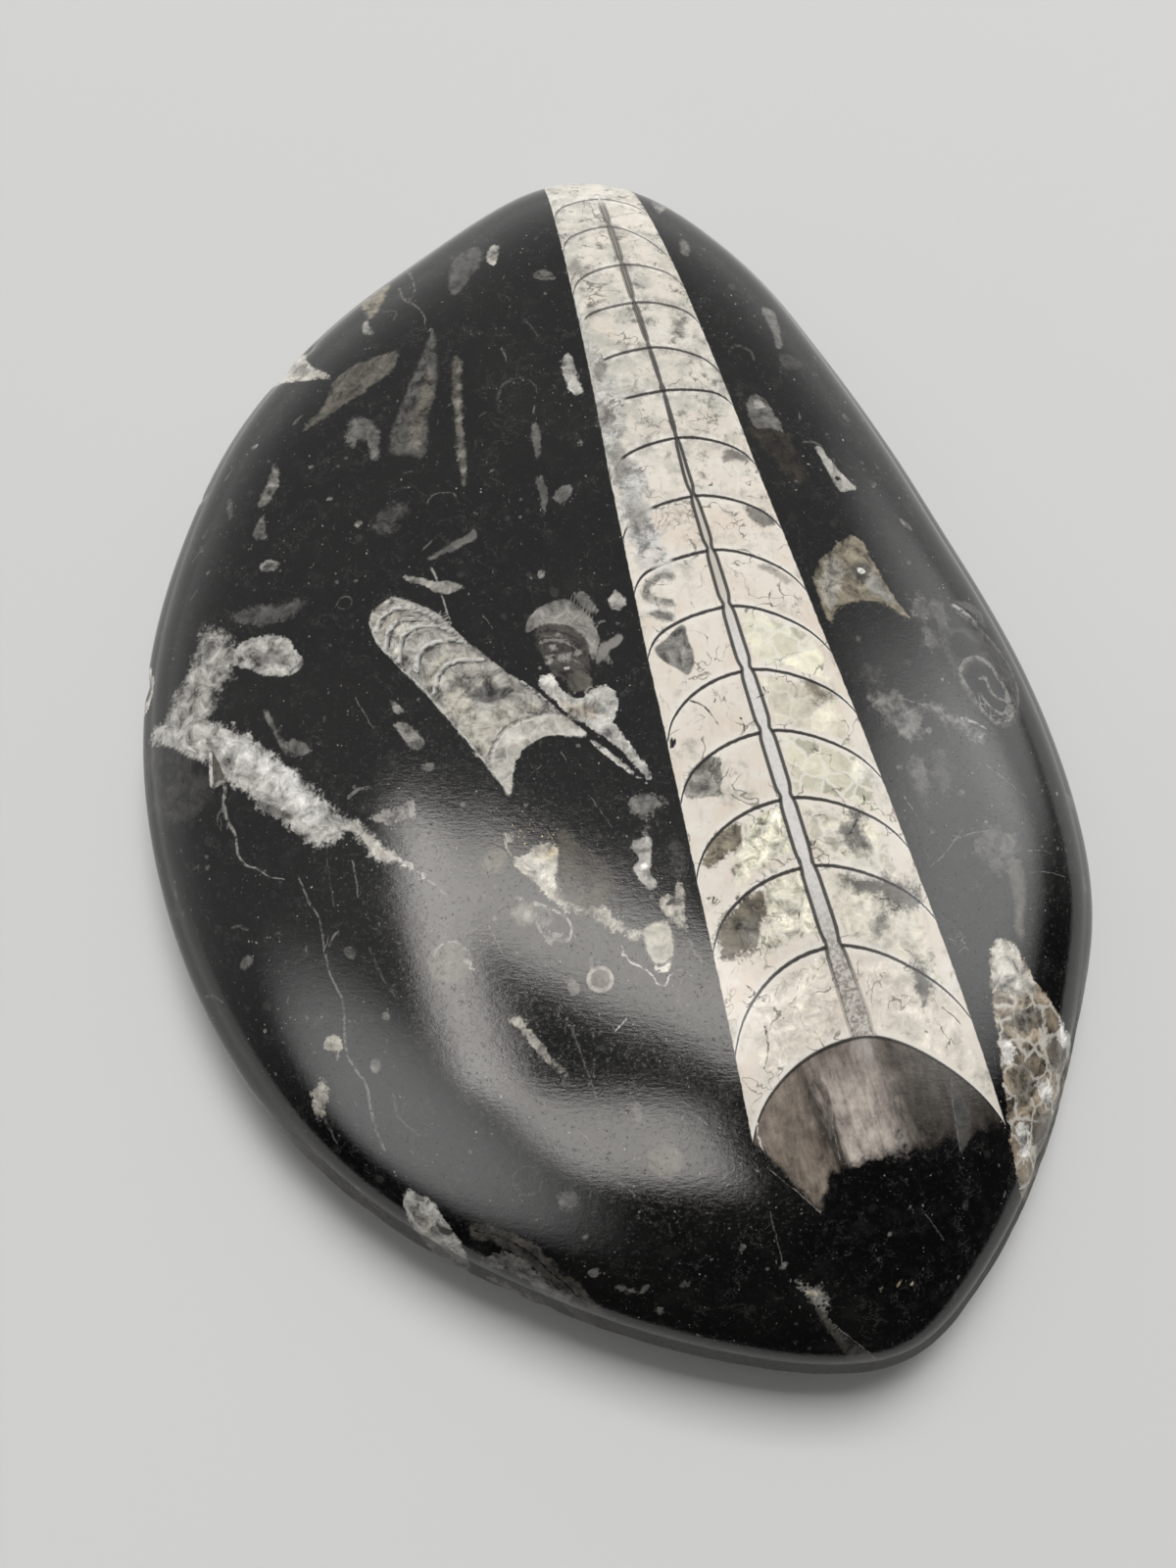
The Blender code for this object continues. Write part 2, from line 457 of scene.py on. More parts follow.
# %% Cone coordinates and septa
CONE_MIDDLE = np.array((13.78, 2.965))
CONE_DOWN = np.array((0.2396, -0.9709))
CONE_RIGHT = np.array((0.9709, 0.2396))
cone_along = (plan - CONE_MIDDLE) @ CONE_DOWN
cone_across = (plan - CONE_MIDDLE) @ CONE_RIGHT
cone_half = 9.42 + 0.059 * cone_along
# The shell bends a little: where its middle lies, across the axis, at places along it.
BEND_PLACES = (-75, -60, -45, -30, -20, 0, 10, 25, 40, 57)
BEND = (0.15, 0.1, 0.0, -0.25, -0.5, -0.58, -0.47, -0.42, -0.25, -0.2)
wall_across = cone_across - np.interp(cone_along, BEND_PLACES, BEND)

# Each septum: place of its top along the axis, and how far it drops at the left wall and at the right wall.
SEPTA = (
    (-82.0, 1.3, 3.0), (-76.0, 1.3, 3.0), (-69.8, 1.3, 3.0), (-63.3, 1.3, 3.0), (-57.4, 1.6, 5.9),
    (-50.4, 1.9, 2.9), (-44.2, 1.0, 2.7), (-37.3, 1.2, 3.4), (-31.1, 0.5, 1.8), (-24.65, 2.1, 3.6),
    (-17.0, 1.9, 4.3), (-10.15, 1.5, 5.3), (-3.3, 2.2, 5.9), (4.25, 4.2, 5.5), (11.2, 3.9, 6.0),
    (18.6, 4.2, 6.0), (25.8, 4.5, 6.3), (34.0, 6.3, 8.4), (42.9, 5.5, 10.0),
)
FIRST_REAL = 3
BODY_CHAMBER = len(SEPTA) - 1
share = np.clip(wall_across / cone_half, -1.1, 1.1)
hook = 1.5 * np.abs(share) ** 12
septum_places = np.array([
    top + hook + np.where(share < 0, left * np.abs(share) ** 2.4, right * np.abs(share) ** 1.8)
    for top, left, right in SEPTA
])
cone_chamber = np.full(INLAID, -1.0)
chamber_height = np.full(INLAID, 7.0)
for i in range(len(SEPTA) - 1):
    height = septum_places[i + 1] - septum_places[i]
    part = (cone_along - septum_places[i]) / height
    here = part >= 0
    cone_chamber[here] = (i + part)[here]
    chamber_height[here] = height[here]
body_edge = cone_along - septum_places[BODY_CHAMBER]
cone_edge = cone_half - np.abs(wall_across)

SIPHON_PLACES = (-90, -62, -45, -31, -20, -13, 0, 12, 24, 34, 40, 46)
SIPHON_LEFT = (0.1, 0.15, -0.3, -0.1, -0.7, -0.75, -0.95, -1.0, -0.95, -0.75, -0.65, -0.8)
SIPHON_RIGHT = (1.1, 1.1, 0.5, 0.3, 0.15, 0.3, 0.3, 0.5, 0.6, 1.0, 1.5, 2.0)
neck = np.min(np.abs(cone_along[None, :] + 0.4 - np.array([s[0] for s in SEPTA])[:, None]), axis=0)
pinch = 0.27 * np.exp(-(((neck + 0.25) / 0.85) ** 2)) - 0.05
siphon_left = cone_across - np.interp(cone_along, SIPHON_PLACES, SIPHON_LEFT) - pinch
siphon_right = np.interp(cone_along, SIPHON_PLACES, SIPHON_RIGHT) - pinch - cone_across
print("septa:", len(SEPTA), "of which", len(SEPTA) - FIRST_REAL, "are clearly seen")

# %% [markdown]
# ## Crystal filling of the cone's chambers
#
# After the animal died, water laid cream calcite on the walls of each chamber, and clearer greenish crystals
# closed the middle. A chamber's crystal patch is therefore a rule again: what is left of the chamber once a
# band along its septa, its wall and its siphuncle is taken off. Stains and smoky patches are drawn one by one.

# %% Crystals inside the chambers
def chamber_patch(number, right, tint, crystal, cloud, wall=1.4, opacity=1.0):
    """The middle of one chamber, on the right or the left of the siphuncle."""
    upper = cone_along - septum_places[number] - PATCH_BAND
    lower = septum_places[number + 1] - cone_along - PATCH_BAND
    tube = -siphon_right if right else -siphon_left
    distance = np.minimum(np.minimum(upper, lower), np.minimum(cone_edge - wall, tube - PATCH_TUBE))
    where = np.flatnonzero(distance > -2)
    lay("bed", where, np.minimum(distance[where], 9.0), TINTS[tint], opacity, 0.3, 0.7, crystal, cloud)


# Millimetres left free along the septa, and along the siphuncle.
PATCH_BAND, PATCH_TUBE = 0.8, 0.5
for patch in (
    (12, True, "green", 0.9, 0.15), (13, True, "green", 0.6, 0.3, 1.8, 0.75),
    (14, True, "green", 1.0, 0.15, 1.5),
    (15, True, "wax", 0.9, 0.45, 2.0, 0.85), (16, True, "wax", 0.6, 0.55, 1.6, 0.7),
    (17, True, "biscuit", 0.5, 0.5, 1.2, 0.6), (17, False, "biscuit", 0.3, 0.8, 2.4, 0.5),
):
    chamber_patch(*patch)
draw("""
bed green soft=.35 ragged=.6 crystal=.8: 13.6,-17.6 16.5,-16.3 18.3,-16 19.2,-20.2 17,-21.2 14.5,-22.6
  12.6,-24.3 12.4,-21.5 13.4,-20
bed wax soft=.35 ragged=.6 crystal=.5: 15.4,-24.2 18,-22.8 20,-22.2 20.8,-25.5 21,-28.3 18.2,-29.2 15.8,-30.6
  14.4,-31.5 15,-28.6 15.8,-27
""")

# Smoky and stained patches against the left wall.
draw("""
bed smoke ragged=.1: 4.8,1.1 6.1,2.3 7.2,3.6 8.1,3.9 8.4,2.3 8.9,1 9,-.5 8.4,-1.8 7.2,-1.1 5.8,-.2
shell pale opacity=.8 soft=.4 ragged=.5: 7.4,1.8 8.1,1.5 8.2,.4 7.7,.2
bed ash soft=.25: 3.6,7.9 4.4,9.2 5.8,10 7,9.9 6.9,9 6.2,9.2 5.2,8.8 4.4,7.8 4.8,7.2 6.8,6.9 7,6.1 5.2,6.3
  3.8,7
bed smoke soft=.3: 4.2,5.1 5.5,5.6 6.9,5.1 6.8,4.3 5.5,4.5
bed ash ragged=.25: 7.5,-14.7 8.2,-12.5 9.4,-11.2 10.3,-10.6 11.4,-10.9 11.5,-12.5 11.4,-14.5 11.8,-15.3
  10,-15 8.5,-15.3
bed mud soft=.3 ragged=.7 cloud=1: 9.3,-21.7 9.6,-20.3 10.4,-19.2 11.6,-18.4 13,-17.6 13.4,-18.5 13.3,-20
  12,-20.8 10.5,-22 9.5,-22.3
bed umber soft=.5 ragged=1.1 cloud=1: 10.3,-29.5 10.8,-28 11.8,-26.5 13,-25.4 14.6,-24.5 15.5,-24.8 15.7,-27
  14.9,-28.5 14.2,-30.5 13,-31.3 11,-31
shell smoke opacity=.6 soft=.6 ragged=.8: 12.8,-28.2 14.2,-27.4 14.6,-29.4 13.2,-30
bed ink soft=.1 ragged=.1: 6.4,-8.6 7.2,-9.3 6.2,-9.9
""")

# The clouded strip along the upper left wall.
CLOUDED_STRIP = """
    -4.6,45 -3.4,46.8 -2.8,44 -1.4,40.5 -.6,38 .4,35.6 2,32.5 2,30.3 1.9,28.5 1.3,26 1.6,24 3.7,23 3.9,21.5
    4,20 5,17.5 5.2,16.4 6,14 6.3,12.5 7,11.2 5.4,10.6 3.4,10.8 2.6,13 1.3,18 0,23 -1.6,30 -3.2,37
"""
strip_path = rounded(trace(CLOUDED_STRIP), True)
strip_edge = inside_distance(strip_path, plan_x, plan_y)
draw("""
shell smoke opacity=.7 soft=.5 ragged=.7: .3,26.4 1.5,25.8 2.3,23.6 2,21.5 1,20.6 .5,22.5
shell grey opacity=.75 soft=.35 ragged=.4: -1.3,37 -.3,36.9 0,35.7 -.9,34.6 -1.7,35.4
shell grey opacity=.6 soft=.4 ragged=.6: -.9,31.6 .4,30.6 .6,28.8 -.7,28
shell smoke opacity=.65 soft=.4 ragged=.6: 1.6,18.5 3.6,18 4.3,16.2 3.4,14.8 2.4,15.6
shell milk opacity=.7 soft=.3 ragged=.5 cloud=.6: 2.6,20.4 3.6,19.6 4.8,17.6 3,17.6 2,19
shell cream soft=.3 ragged=.4 cloud=.3: 2.9,11.8 4.6,12.8 5.8,12.4 5.2,10.9 3.4,10.6
bed grey opacity=.6 soft=.5 ragged=.5: -4.8,51.5 -3.6,53 -3,50.8 -4,49.6
""")

# Smudges in the right-hand chambers.
draw("""
shell grey opacity=.5 soft=.5 ragged=.6 cloud=.6: 10.4,34 12,33.8 13.6,34.6 13.9,33.7 12.2,32.9 10.6,33.1
shell grey opacity=.8 soft=.3 ragged=.4 cloud=.6: 13.3,25.5 14.7,25.6 15.8,25 15.4,24.1 14.1,24.3 12.9,23.9
shell grey opacity=.85 soft=.3 ragged=.4: 15,18.3 16.6,18.2 18.2,17.4 18.3,16.2 17,15.9 16,16.5
shell grey opacity=.5 soft=.25 cloud=.4: 16.4,11.4 18,10.9 19.6,9.4 18.9,9.1 17.6,10.2 16.4,10.7
shell mud opacity=.9 soft=.7 ragged=.9: 20.4,-2.2 22.2,-2.4 23.4,-3.6 22.6,-4.6 21.2,-4.2
shell grey opacity=.9 soft=.6 ragged=.9: 24.6,-16.3 25.9,-16.6 25.6,-18.5 26.4,-20.2 24.6,-20.1 23.2,-18.6
  24,-17.4
shell dim opacity=.85 soft=.7 ragged=1: 23.6,-22.8 26,-23.3 28.5,-23 30.5,-24 31.5,-25.5 30,-26.5 28,-26.2
  26.5,-24.9 24.2,-24.6
shell smoke opacity=.9 soft=.6 ragged=.8: 26.2,-26.8 27.6,-27 27.2,-28.8 26.2,-29.2
shell dim opacity=.9 soft=.5 ragged=.8: 29.5,-31.5 30.5,-31 31.4,-32 31.8,-34 31,-35.8 30.2,-34.5 29.8,-33
shell smoke opacity=.65 soft=.4 ragged=.5: 7.5,43.8 8.8,43.4 9.4,41.6 8.6,40.9 7.9,42
""")
print("chamber fillings:", made)

# %% Cracks in the calcite
draw("""
vein peat wide=.26 taper=.12 opacity=.95: 8.3,-4.6 9.8,-5.2 10.8,-6.4 11.4,-7.4 / 10.9,-3.3 11.2,-4.3
  10.8,-4.9 / 13.6,-6.4 13.9,-7.2 14,-8.2 / 16.7,-3.6 15.4,-4.3 / 16.1,-3 16.5,-3.9 / 17.6,8.3 17.3,7.2
  17.5,6.1 / 25.9,-14.6 26.1,-15.5 25.1,-15.8 / 25.5,-16.3 25,-17.6 24.6,-19.1 / 25,-17.6 23.9,-19.4 /
  28,-34.7 30,-34.8 / 32.5,-35.7 33.8,-36.6 34.9,-37.7 / 33,-40 33.1,-39.2 34,-39.1 / 13.2,-33.8 15.1,-35.5
  17.1,-37.3 / 14.9,-37.6 15.2,-39.8 14.7,-42 / 18.9,-25.6 18.7,-27.8 / 13,-36 15.6,-34.6 / 9.5,-25.3
  11.2,-25.7 / 10.4,-24.8 10.2,-26.4 / 26.6,-25.2 28.3,-25.4 29.2,-26.4 27.7,-26.2 / 19.9,-18.9 20.3,-20.1
  20.9,-19.4
""")
for x, y in trace("16.2,-34.3 17,-33.8 17.8,-33.6 18.6,-33.2 19.4,-32.9 20.2,-32.4 16.6,-33.3 19,-32.2"):
    vein(np.array(((x, y), (x - 0.4, y - 1.3))), 0.13, TINTS["smoke"], 0.7, taper=0.05)
draw("""
vein peat wide=.2 opacity=.8: 11.4,21.4 11.6,20.9 11.2,20.8
vein peat wide=.16 opacity=.6: 8.8,6.6 9.2,5.9
""")
print("cracks:", made["veins"])

# %% [markdown]
# ## The body chamber
#
# The living chamber at the wide end stayed hollow for a while. Mud washed into one side of it and clear
# calcite filled the rest, so its upper part looks like smoky glass over black. That filling has no outline:
# it runs in lanes along the cone, so the material makes it from the cone's own coordinates further on. Only
# its one sharp splinter and its hair cracks are drawn here.

# %% Splinter and cracks of the body chamber
draw("""
shell dim soft=.2 ragged=.2 cloud=.5: 33.4,-41.8 34.3,-44 35.3,-47 34,-49.5 33.5,-47 33.2,-44
fleck smoke opacity=.8 ragged=.4: 27.2,-47.5 28.1,-47.3 28.4,-48.4 27.5,-48.8
vein snow wide=.17 opacity=.9: 13.9,-46.4 14,-47.6 14.3,-48.8 14.7,-49.6
vein pale wide=.12 opacity=.6: 15,-51 17.5,-52.9 20,-55
vein smoke wide=.12 opacity=.55: 15,-54.7 15.7,-57.4 16.3,-60
vein smoke wide=.1 opacity=.7: 33.4,-41.9 33.3,-44.5 33.6,-47.2 34,-49.5
vein pale wide=.1 opacity=.55: 21,-40.6 21.5,-43.5 21.2,-46.5 21.9,-50.6
spot fleck smoke soft=.1: 16.3,-59.8,.45,.3,40
spot fleck snow: 14,-51,.3,.2,0
""")
print("body chamber done:", made)

# %% [markdown]
# ## The second cone and the small shells
#
# The second cone was cut at a slant, so only its crowded first chambers show as nested crescents, and its
# dark living chamber opens to the lower right. These shapes follow no simple rule in the cut, so each is an
# inlay of its own: the grey filling first, the bright crescents and the pale walls over it.

# %% Second cone
draw("""
bed ash ragged=.25 cloud=1: -24.8,6.3 -23,7.4 -20.5,6.5 -18.5,5.5 -17,4 -15,2 -12.5,0 -9.2,-2.6 -5.5,-5.6
  -2.5,-8.2 -3.8,-8.6 -5.5,-8.3 -7.2,-8.7 -8.6,-9.8 -9.7,-11.6 -10,-15 -11.5,-13 -13.2,-10.8 -15,-8.5 -17,-6.2
  -19,-3.8 -20.8,-2 -22.5,0 -24.5,2 -25.5,5
shell bone ragged=.2: -25.3,5.4 -24.4,6.6 -23,7.2 -21.2,6.6 -20.9,6.1 -22.5,6.3 -23.6,5.9 -24.4,4.9 -24.7,3.4
  -25.1,4
shell fawn: -24.2,4.6 -23.2,5.6 -21.6,5.9 -20.2,5.6 -20.6,4.7 -21.8,4.9 -22.8,4.4 -23.5,3.2 -23.6,1.6
  -24.3,2.6
shell bone soft=.2: -22.9,3.2 -22.3,4.3 -20.9,4.8 -19.3,4.7 -19.7,3.9 -21,3.7 -21.9,2.8 -22.2,1.2 -21.8,-.6
  -22.7,.4
shell pale soft=.25 ragged=.4: -20.9,.6 -20.1,2.3 -18.5,3 -16.8,2.9 -17.2,2.2 -18.7,2.1 -19.7,1.2 -20,-.6
  -19.8,-2.2 -20.6,-1.2
shell straw soft=.25 ragged=.4: -19.2,-2 -18.6,-.6 -17.2,.5 -15,.8 -13.2,.1 -14.6,-.2 -16.4,-.4 -17.6,-1.4
  -18,-3.2 -18.7,-3
shell straw soft=.2 ragged=.5 crystal=.4: -17.2,-4.8 -16,-3.4 -15,-3.6 -14.2,-5 -12.6,-5.8 -10.6,-5.2 -8.6,-5
  -7,-5.3 -8.4,-6.6 -10.5,-7.6 -12,-9.6 -13,-10.8 -15,-8.4
shell slate soft=.2: -14.8,-4.2 -13.5,-3 -12,-2.7 -11,-3.2 -10.5,-4 -12,-4.8 -13.5,-4.7
fleck horn soft=.1 ragged=.15 crystal=.5 cloud=.5: -10,-14.8 -11.1,-13.4 -11.8,-12.2 -12,-10.2 -10.7,-8
  -8.7,-6.8 -6.5,-6.2 -5,-6.2 -3.8,-7 -2.2,-8.4 -3.4,-8.5 -5,-8.4 -7,-8.7 -8.8,-10 -9.8,-12
fleck milk soft=.08 ragged=.1: -2.2,-8.6 -.6,-9.7 1,-11 2.6,-12.4 4.2,-13.8 3.4,-13.4 1.6,-12.2 0,-10.9
  -1.6,-9.5
""")
CRESCENTS = """
    -24.6,3.2 -24.2,4.5 -23.4,5.4 -22.3,5.8 -21,5.7 -19.5,5.3 -18.2,4.5 /
    -21.6,-1 -21.9,1 -21.5,2.7 -20.2,3.6 -18.5,3.8 -16.8,3.2 -15.2,2.2 /
    -20,-1.5 -19.9,.2 -19,1.4 -17.6,1.9 -16,2 -14.8,1.4 /
    -17.9,-4 -17.8,-2.2 -16.8,-.8 -15.5,-.3 -14,-.3 -12.8,-.2 /
    -23.3,1.2 -23.2,3 -22.4,4.2 -21,4.5 -19.2,4.4 /
    -8.9,-2.8 -6.4,-4.9 -4.2,-6.9
"""
for crescent in map(trace, CRESCENTS.split("/")):
    vein(crescent + (-0.24, 0.3), 0.5, TINTS["white"], 0.9, taper=0.25)
    vein(crescent, 0.42, TINTS["faint"], 0.95, taper=0.2)
draw("""
vein chalk wide=.34 taper=.2 opacity=.75: -25.5,4.6 -24.4,2 -22.6,0 -20.8,-1.9 -18.9,-3.8 -16.9,-6.2 -15,-8.4
  -13.2,-10.7 -11.4,-13 -10.1,-14.8
vein milk wide=.3 taper=.2 opacity=.7: -23,7.2 -20.4,6.3 -18.4,5.3 -16.9,3.9 -14.9,1.9
spot fleck bone opacity=.7 soft=.3 ragged=.5 cloud=.5: -20.4,3.5,.7,.35,20 -16.6,.6,1.1,.5,-35
  -14.6,-1.2,1,.6,-40 -17.4,-2.6,.6,.9,20 -12.6,-6.6,1.1,.6,-40 -14.2,-7.4,.5,.8,25 -9.6,-6.3,1.1,.4,-20
vein cream wide=.3 opacity=.9: -11.9,-12.3 -11.9,-10.2 -10.6,-8 -8.6,-6.8 -6.4,-6.3 -4.6,-6.4
vein soot wide=.2 opacity=.85: -12.2,-12.1 -12.2,-10 -10.9,-7.7 -8.8,-6.5 -6.5,-6 -4.7,-6.1
""")
print("second cone:", made)

# %% Third shell and the white calcite beside it
draw("""
bed dusk soft=.2 ragged=.35 cloud=1: -7.9,3.4 -6,4 -4.2,3.8 -2.6,2.6 -2,.8 -2.3,-1.6 -3.6,-2.4 -5,-2.2
  -6.3,-.8 -7.4,1.2
shell smoke ragged=.2: -8.8,3.5 -8.2,5 -6.5,6.3 -4.5,6.8 -2.8,5.7 -1.5,4 -1,2 -1.2,.5 -1.8,0 -2.2,2 -3.5,3.3
  -5,4 -7,3.9 -8.5,3
fleck smoke ragged=.2: -8.6,3.9 -8,5.1 -6.4,6.2 -4.6,6.5 -3,5.5 -3.6,5.4 -5,5.9 -6.6,5.5 -7.8,4.4
spot shell soot cloud=.6: -3.1,-2.5,1.25,1.15,0
spot fleck white: -4.3,-1,.28,.2,0
spot fleck pale opacity=.75 soft=.25 ragged=.5 cloud=.5: -5.9,1.2,.5,.35,-30 -4.6,.1,.6,.4,-30
  -6.2,-.2,.35,.5,-30 -3.2,.6,.4,.35,-30 -5.2,2.6,.4,.22,-30
vein ash wide=.4 taper=.2 opacity=.8: -7.4,1.8 -6,2.2 -4.4,1.8 -3,.8
vein ash wide=.35 taper=.2 opacity=.75: -6.8,.2 -5.4,.4 -4,0 -2.8,-.6
vein ink wide=.35 taper=.2 opacity=.85: -7.8,2.9 -6.4,3.2 -4.8,3 -3.2,2.2
shell smoke opacity=.8 soft=.2 cloud=.5: -3.8,7.5 -2.5,7.6 -1.5,6.3 -1,5.3 -2.2,5.5 -3,6.3
shell milk soft=.1: -7.5,-2.3 -6,-1.7 -5,-3.2 -4,-4.2 -2.6,-4.2 -1.2,-3 -.2,-3 .7,-3.7 1,-5 .6,-7 1.2,-8
  2.5,-9.8 4,-12 4,-13.3 1,-9.8 -1.5,-8 -4,-6.2 -6,-4.2
fleck brown opacity=.7 soft=.3 ragged=.5: -5.4,-3.8 -4,-5 -2.2,-5 -1.2,-6.2 -2.4,-6.6 -4.2,-5.8
fleck smoke ragged=.15 cloud=.3: -1.3,-.8 -1,1.5 0,2 1,2.8 1.6,2.5 1,1.5 0,.8 0,.2 .7,-.8 .2,-.9 -.5,.2
fleck pale cloud=.6: 0,6.8 .8,7.8 1.8,7 1.7,5.8 .6,5.8
vein ink wide=.4 taper=.15 opacity=.95: 1.7,-8.3 2.5,-9.4 3.3,-10.7
vein smoke wide=.3 opacity=.7: -1.6,3 -.9,4.2 -.2,4.3
""")
print("third shell:", made)

# %% Fourth shell, at the right, and the coiled one beside it
draw("""
bed mud: 22.3,10.2 23.2,12 24.5,13.5 25.8,14.8 27,15.5 28.3,15 28.8,13.5 29.7,11.5 30.7,9.5 31.7,7.5 32.8,5.8
  31,6.8 29.3,7.5 27.5,7.5 25.8,7 24.5,6 23.8,4.5 22.8,7.4
shell fawn soft=.3 ragged=.5: 22.9,9.2 23.9,11.6 25,12.6 25.8,11 25.2,9 24.4,6.9 23.7,6.4
shell smoke soft=.3 ragged=.4: 29,11.6 30,9.8 31.4,7.6 30.2,7.8 28.8,8.6 28,9.6
spot shell soot soft=.25 cloud=.6: 27.8,11.2,1.25,1.15,0
spot fleck snow ragged=.2: 27.8,11.2,.42,.34,0
bed ink opacity=.9 soft=.6 ragged=.4 cloud=.2: 23.8,4.2 24.6,5.8 25.9,6.8 27.6,7.3 29.3,7.2 31,6.4 32.4,5
  32.2,2 30.4,-1 27.4,-2.2 24.8,-1 23.6,1.6
spot fleck dim soft=.2: 26.7,2.7,.35,.3,0
bed faint soft=.4 ragged=.4: 36.7,4 37.3,.7 38.3,-2 40,-4.3 42.7,-5.7 44.7,-4.7 45.4,-2 44.6,1.6 43.3,4.4
  41.6,5.6 39,5.4 37.4,5
spot shell ink soft=.3: 38.8,3.2,1.6,1.5,-40
spot shell ink soft=.3 ragged=.2: 41.4,-2.2,2.6,3.9,25
vein dim wide=.9 taper=.4 opacity=.8: 36.4,6.4 36.6,3.4 37.6,-.6 39.4,-3.6 41.6,-5.8 43.6,-5.6
vein grey wide=.6 taper=.3 opacity=.8: 38.6,7.8 40.4,6.8 42.8,4.8 44.6,2.6 45.4,-.6 44.6,-4
vein smoke wide=.55 taper=.5 opacity=.9: 38,0 39.2,1.6 41,2 42.4,.8 43.6,-1.6 44,-4 42.6,-5.6 40.8,-5.2
  39.2,-3 38.2,-1 38,0
vein smoke wide=.4 opacity=.85: 40.2,-.6 41.2,-.4 41.4,-1.8 42.4,-2.6 43.6,-3 42.8,-4.4 41.6,-4.2 40.6,-3.2
  40.2,-2.2
vein milk wide=.55 taper=.2 opacity=.8: 38.2,8.4 39.6,8 41.4,6.8
vein milk wide=.4 taper=.2 opacity=.75: 37.4,-5.6 38.8,-5.9 40.4,-6.5
shell dim soft=.2 cloud=.5: 38.7,8.8 39.5,9.3 41.5,9.2 42.5,8.3 42.5,6.5 41.8,6.8 41,8 39.5,8.5
shell dim soft=.4 ragged=.6: 35.6,8.4 36.6,8.6 37.6,6.6 37,5.2 36,6
shell grey: 16.2,33 17,33.6 18,33.2 19,31.5 19.8,30 20,28.8 18.5,29 17,28.6 16.3,30 16,31.5
fleck pale: 16.8,32.9 17.6,32.9 18.1,32.1 17.4,31.6 16.8,32.1
bed peat opacity=.7 soft=.6 ragged=.8 cloud=1: 16.2,29 20,29 21.4,26 22.4,23 21,22 19.4,24 17.6,26.4
shell pale ragged=.2 cloud=.6: 23.7,27.2 24.5,27.2 25.5,25.5 27,23.5 28.3,22.2 27.5,21.8 26.5,21.3 26,22 25,24
  24.2,26
spot fleck ink soft=.08: 26.1,23.2,.38,.3,40
vein grey wide=.3 opacity=.7: 22.2,27.6 23.4,27.9 24.6,27.4
""")
print("fourth shell and coil:", made)

# %% [markdown]
# ## Crumbs of shell and sea lily
#
# The black mud is full of broken pieces: rods of sea-lily stem, slivers of shell, rings, and small calcite
# teeth. Far from the main cone they are grey, because the polish only just touches them. They go in by
# neighbourhood, from the far left to the near right.

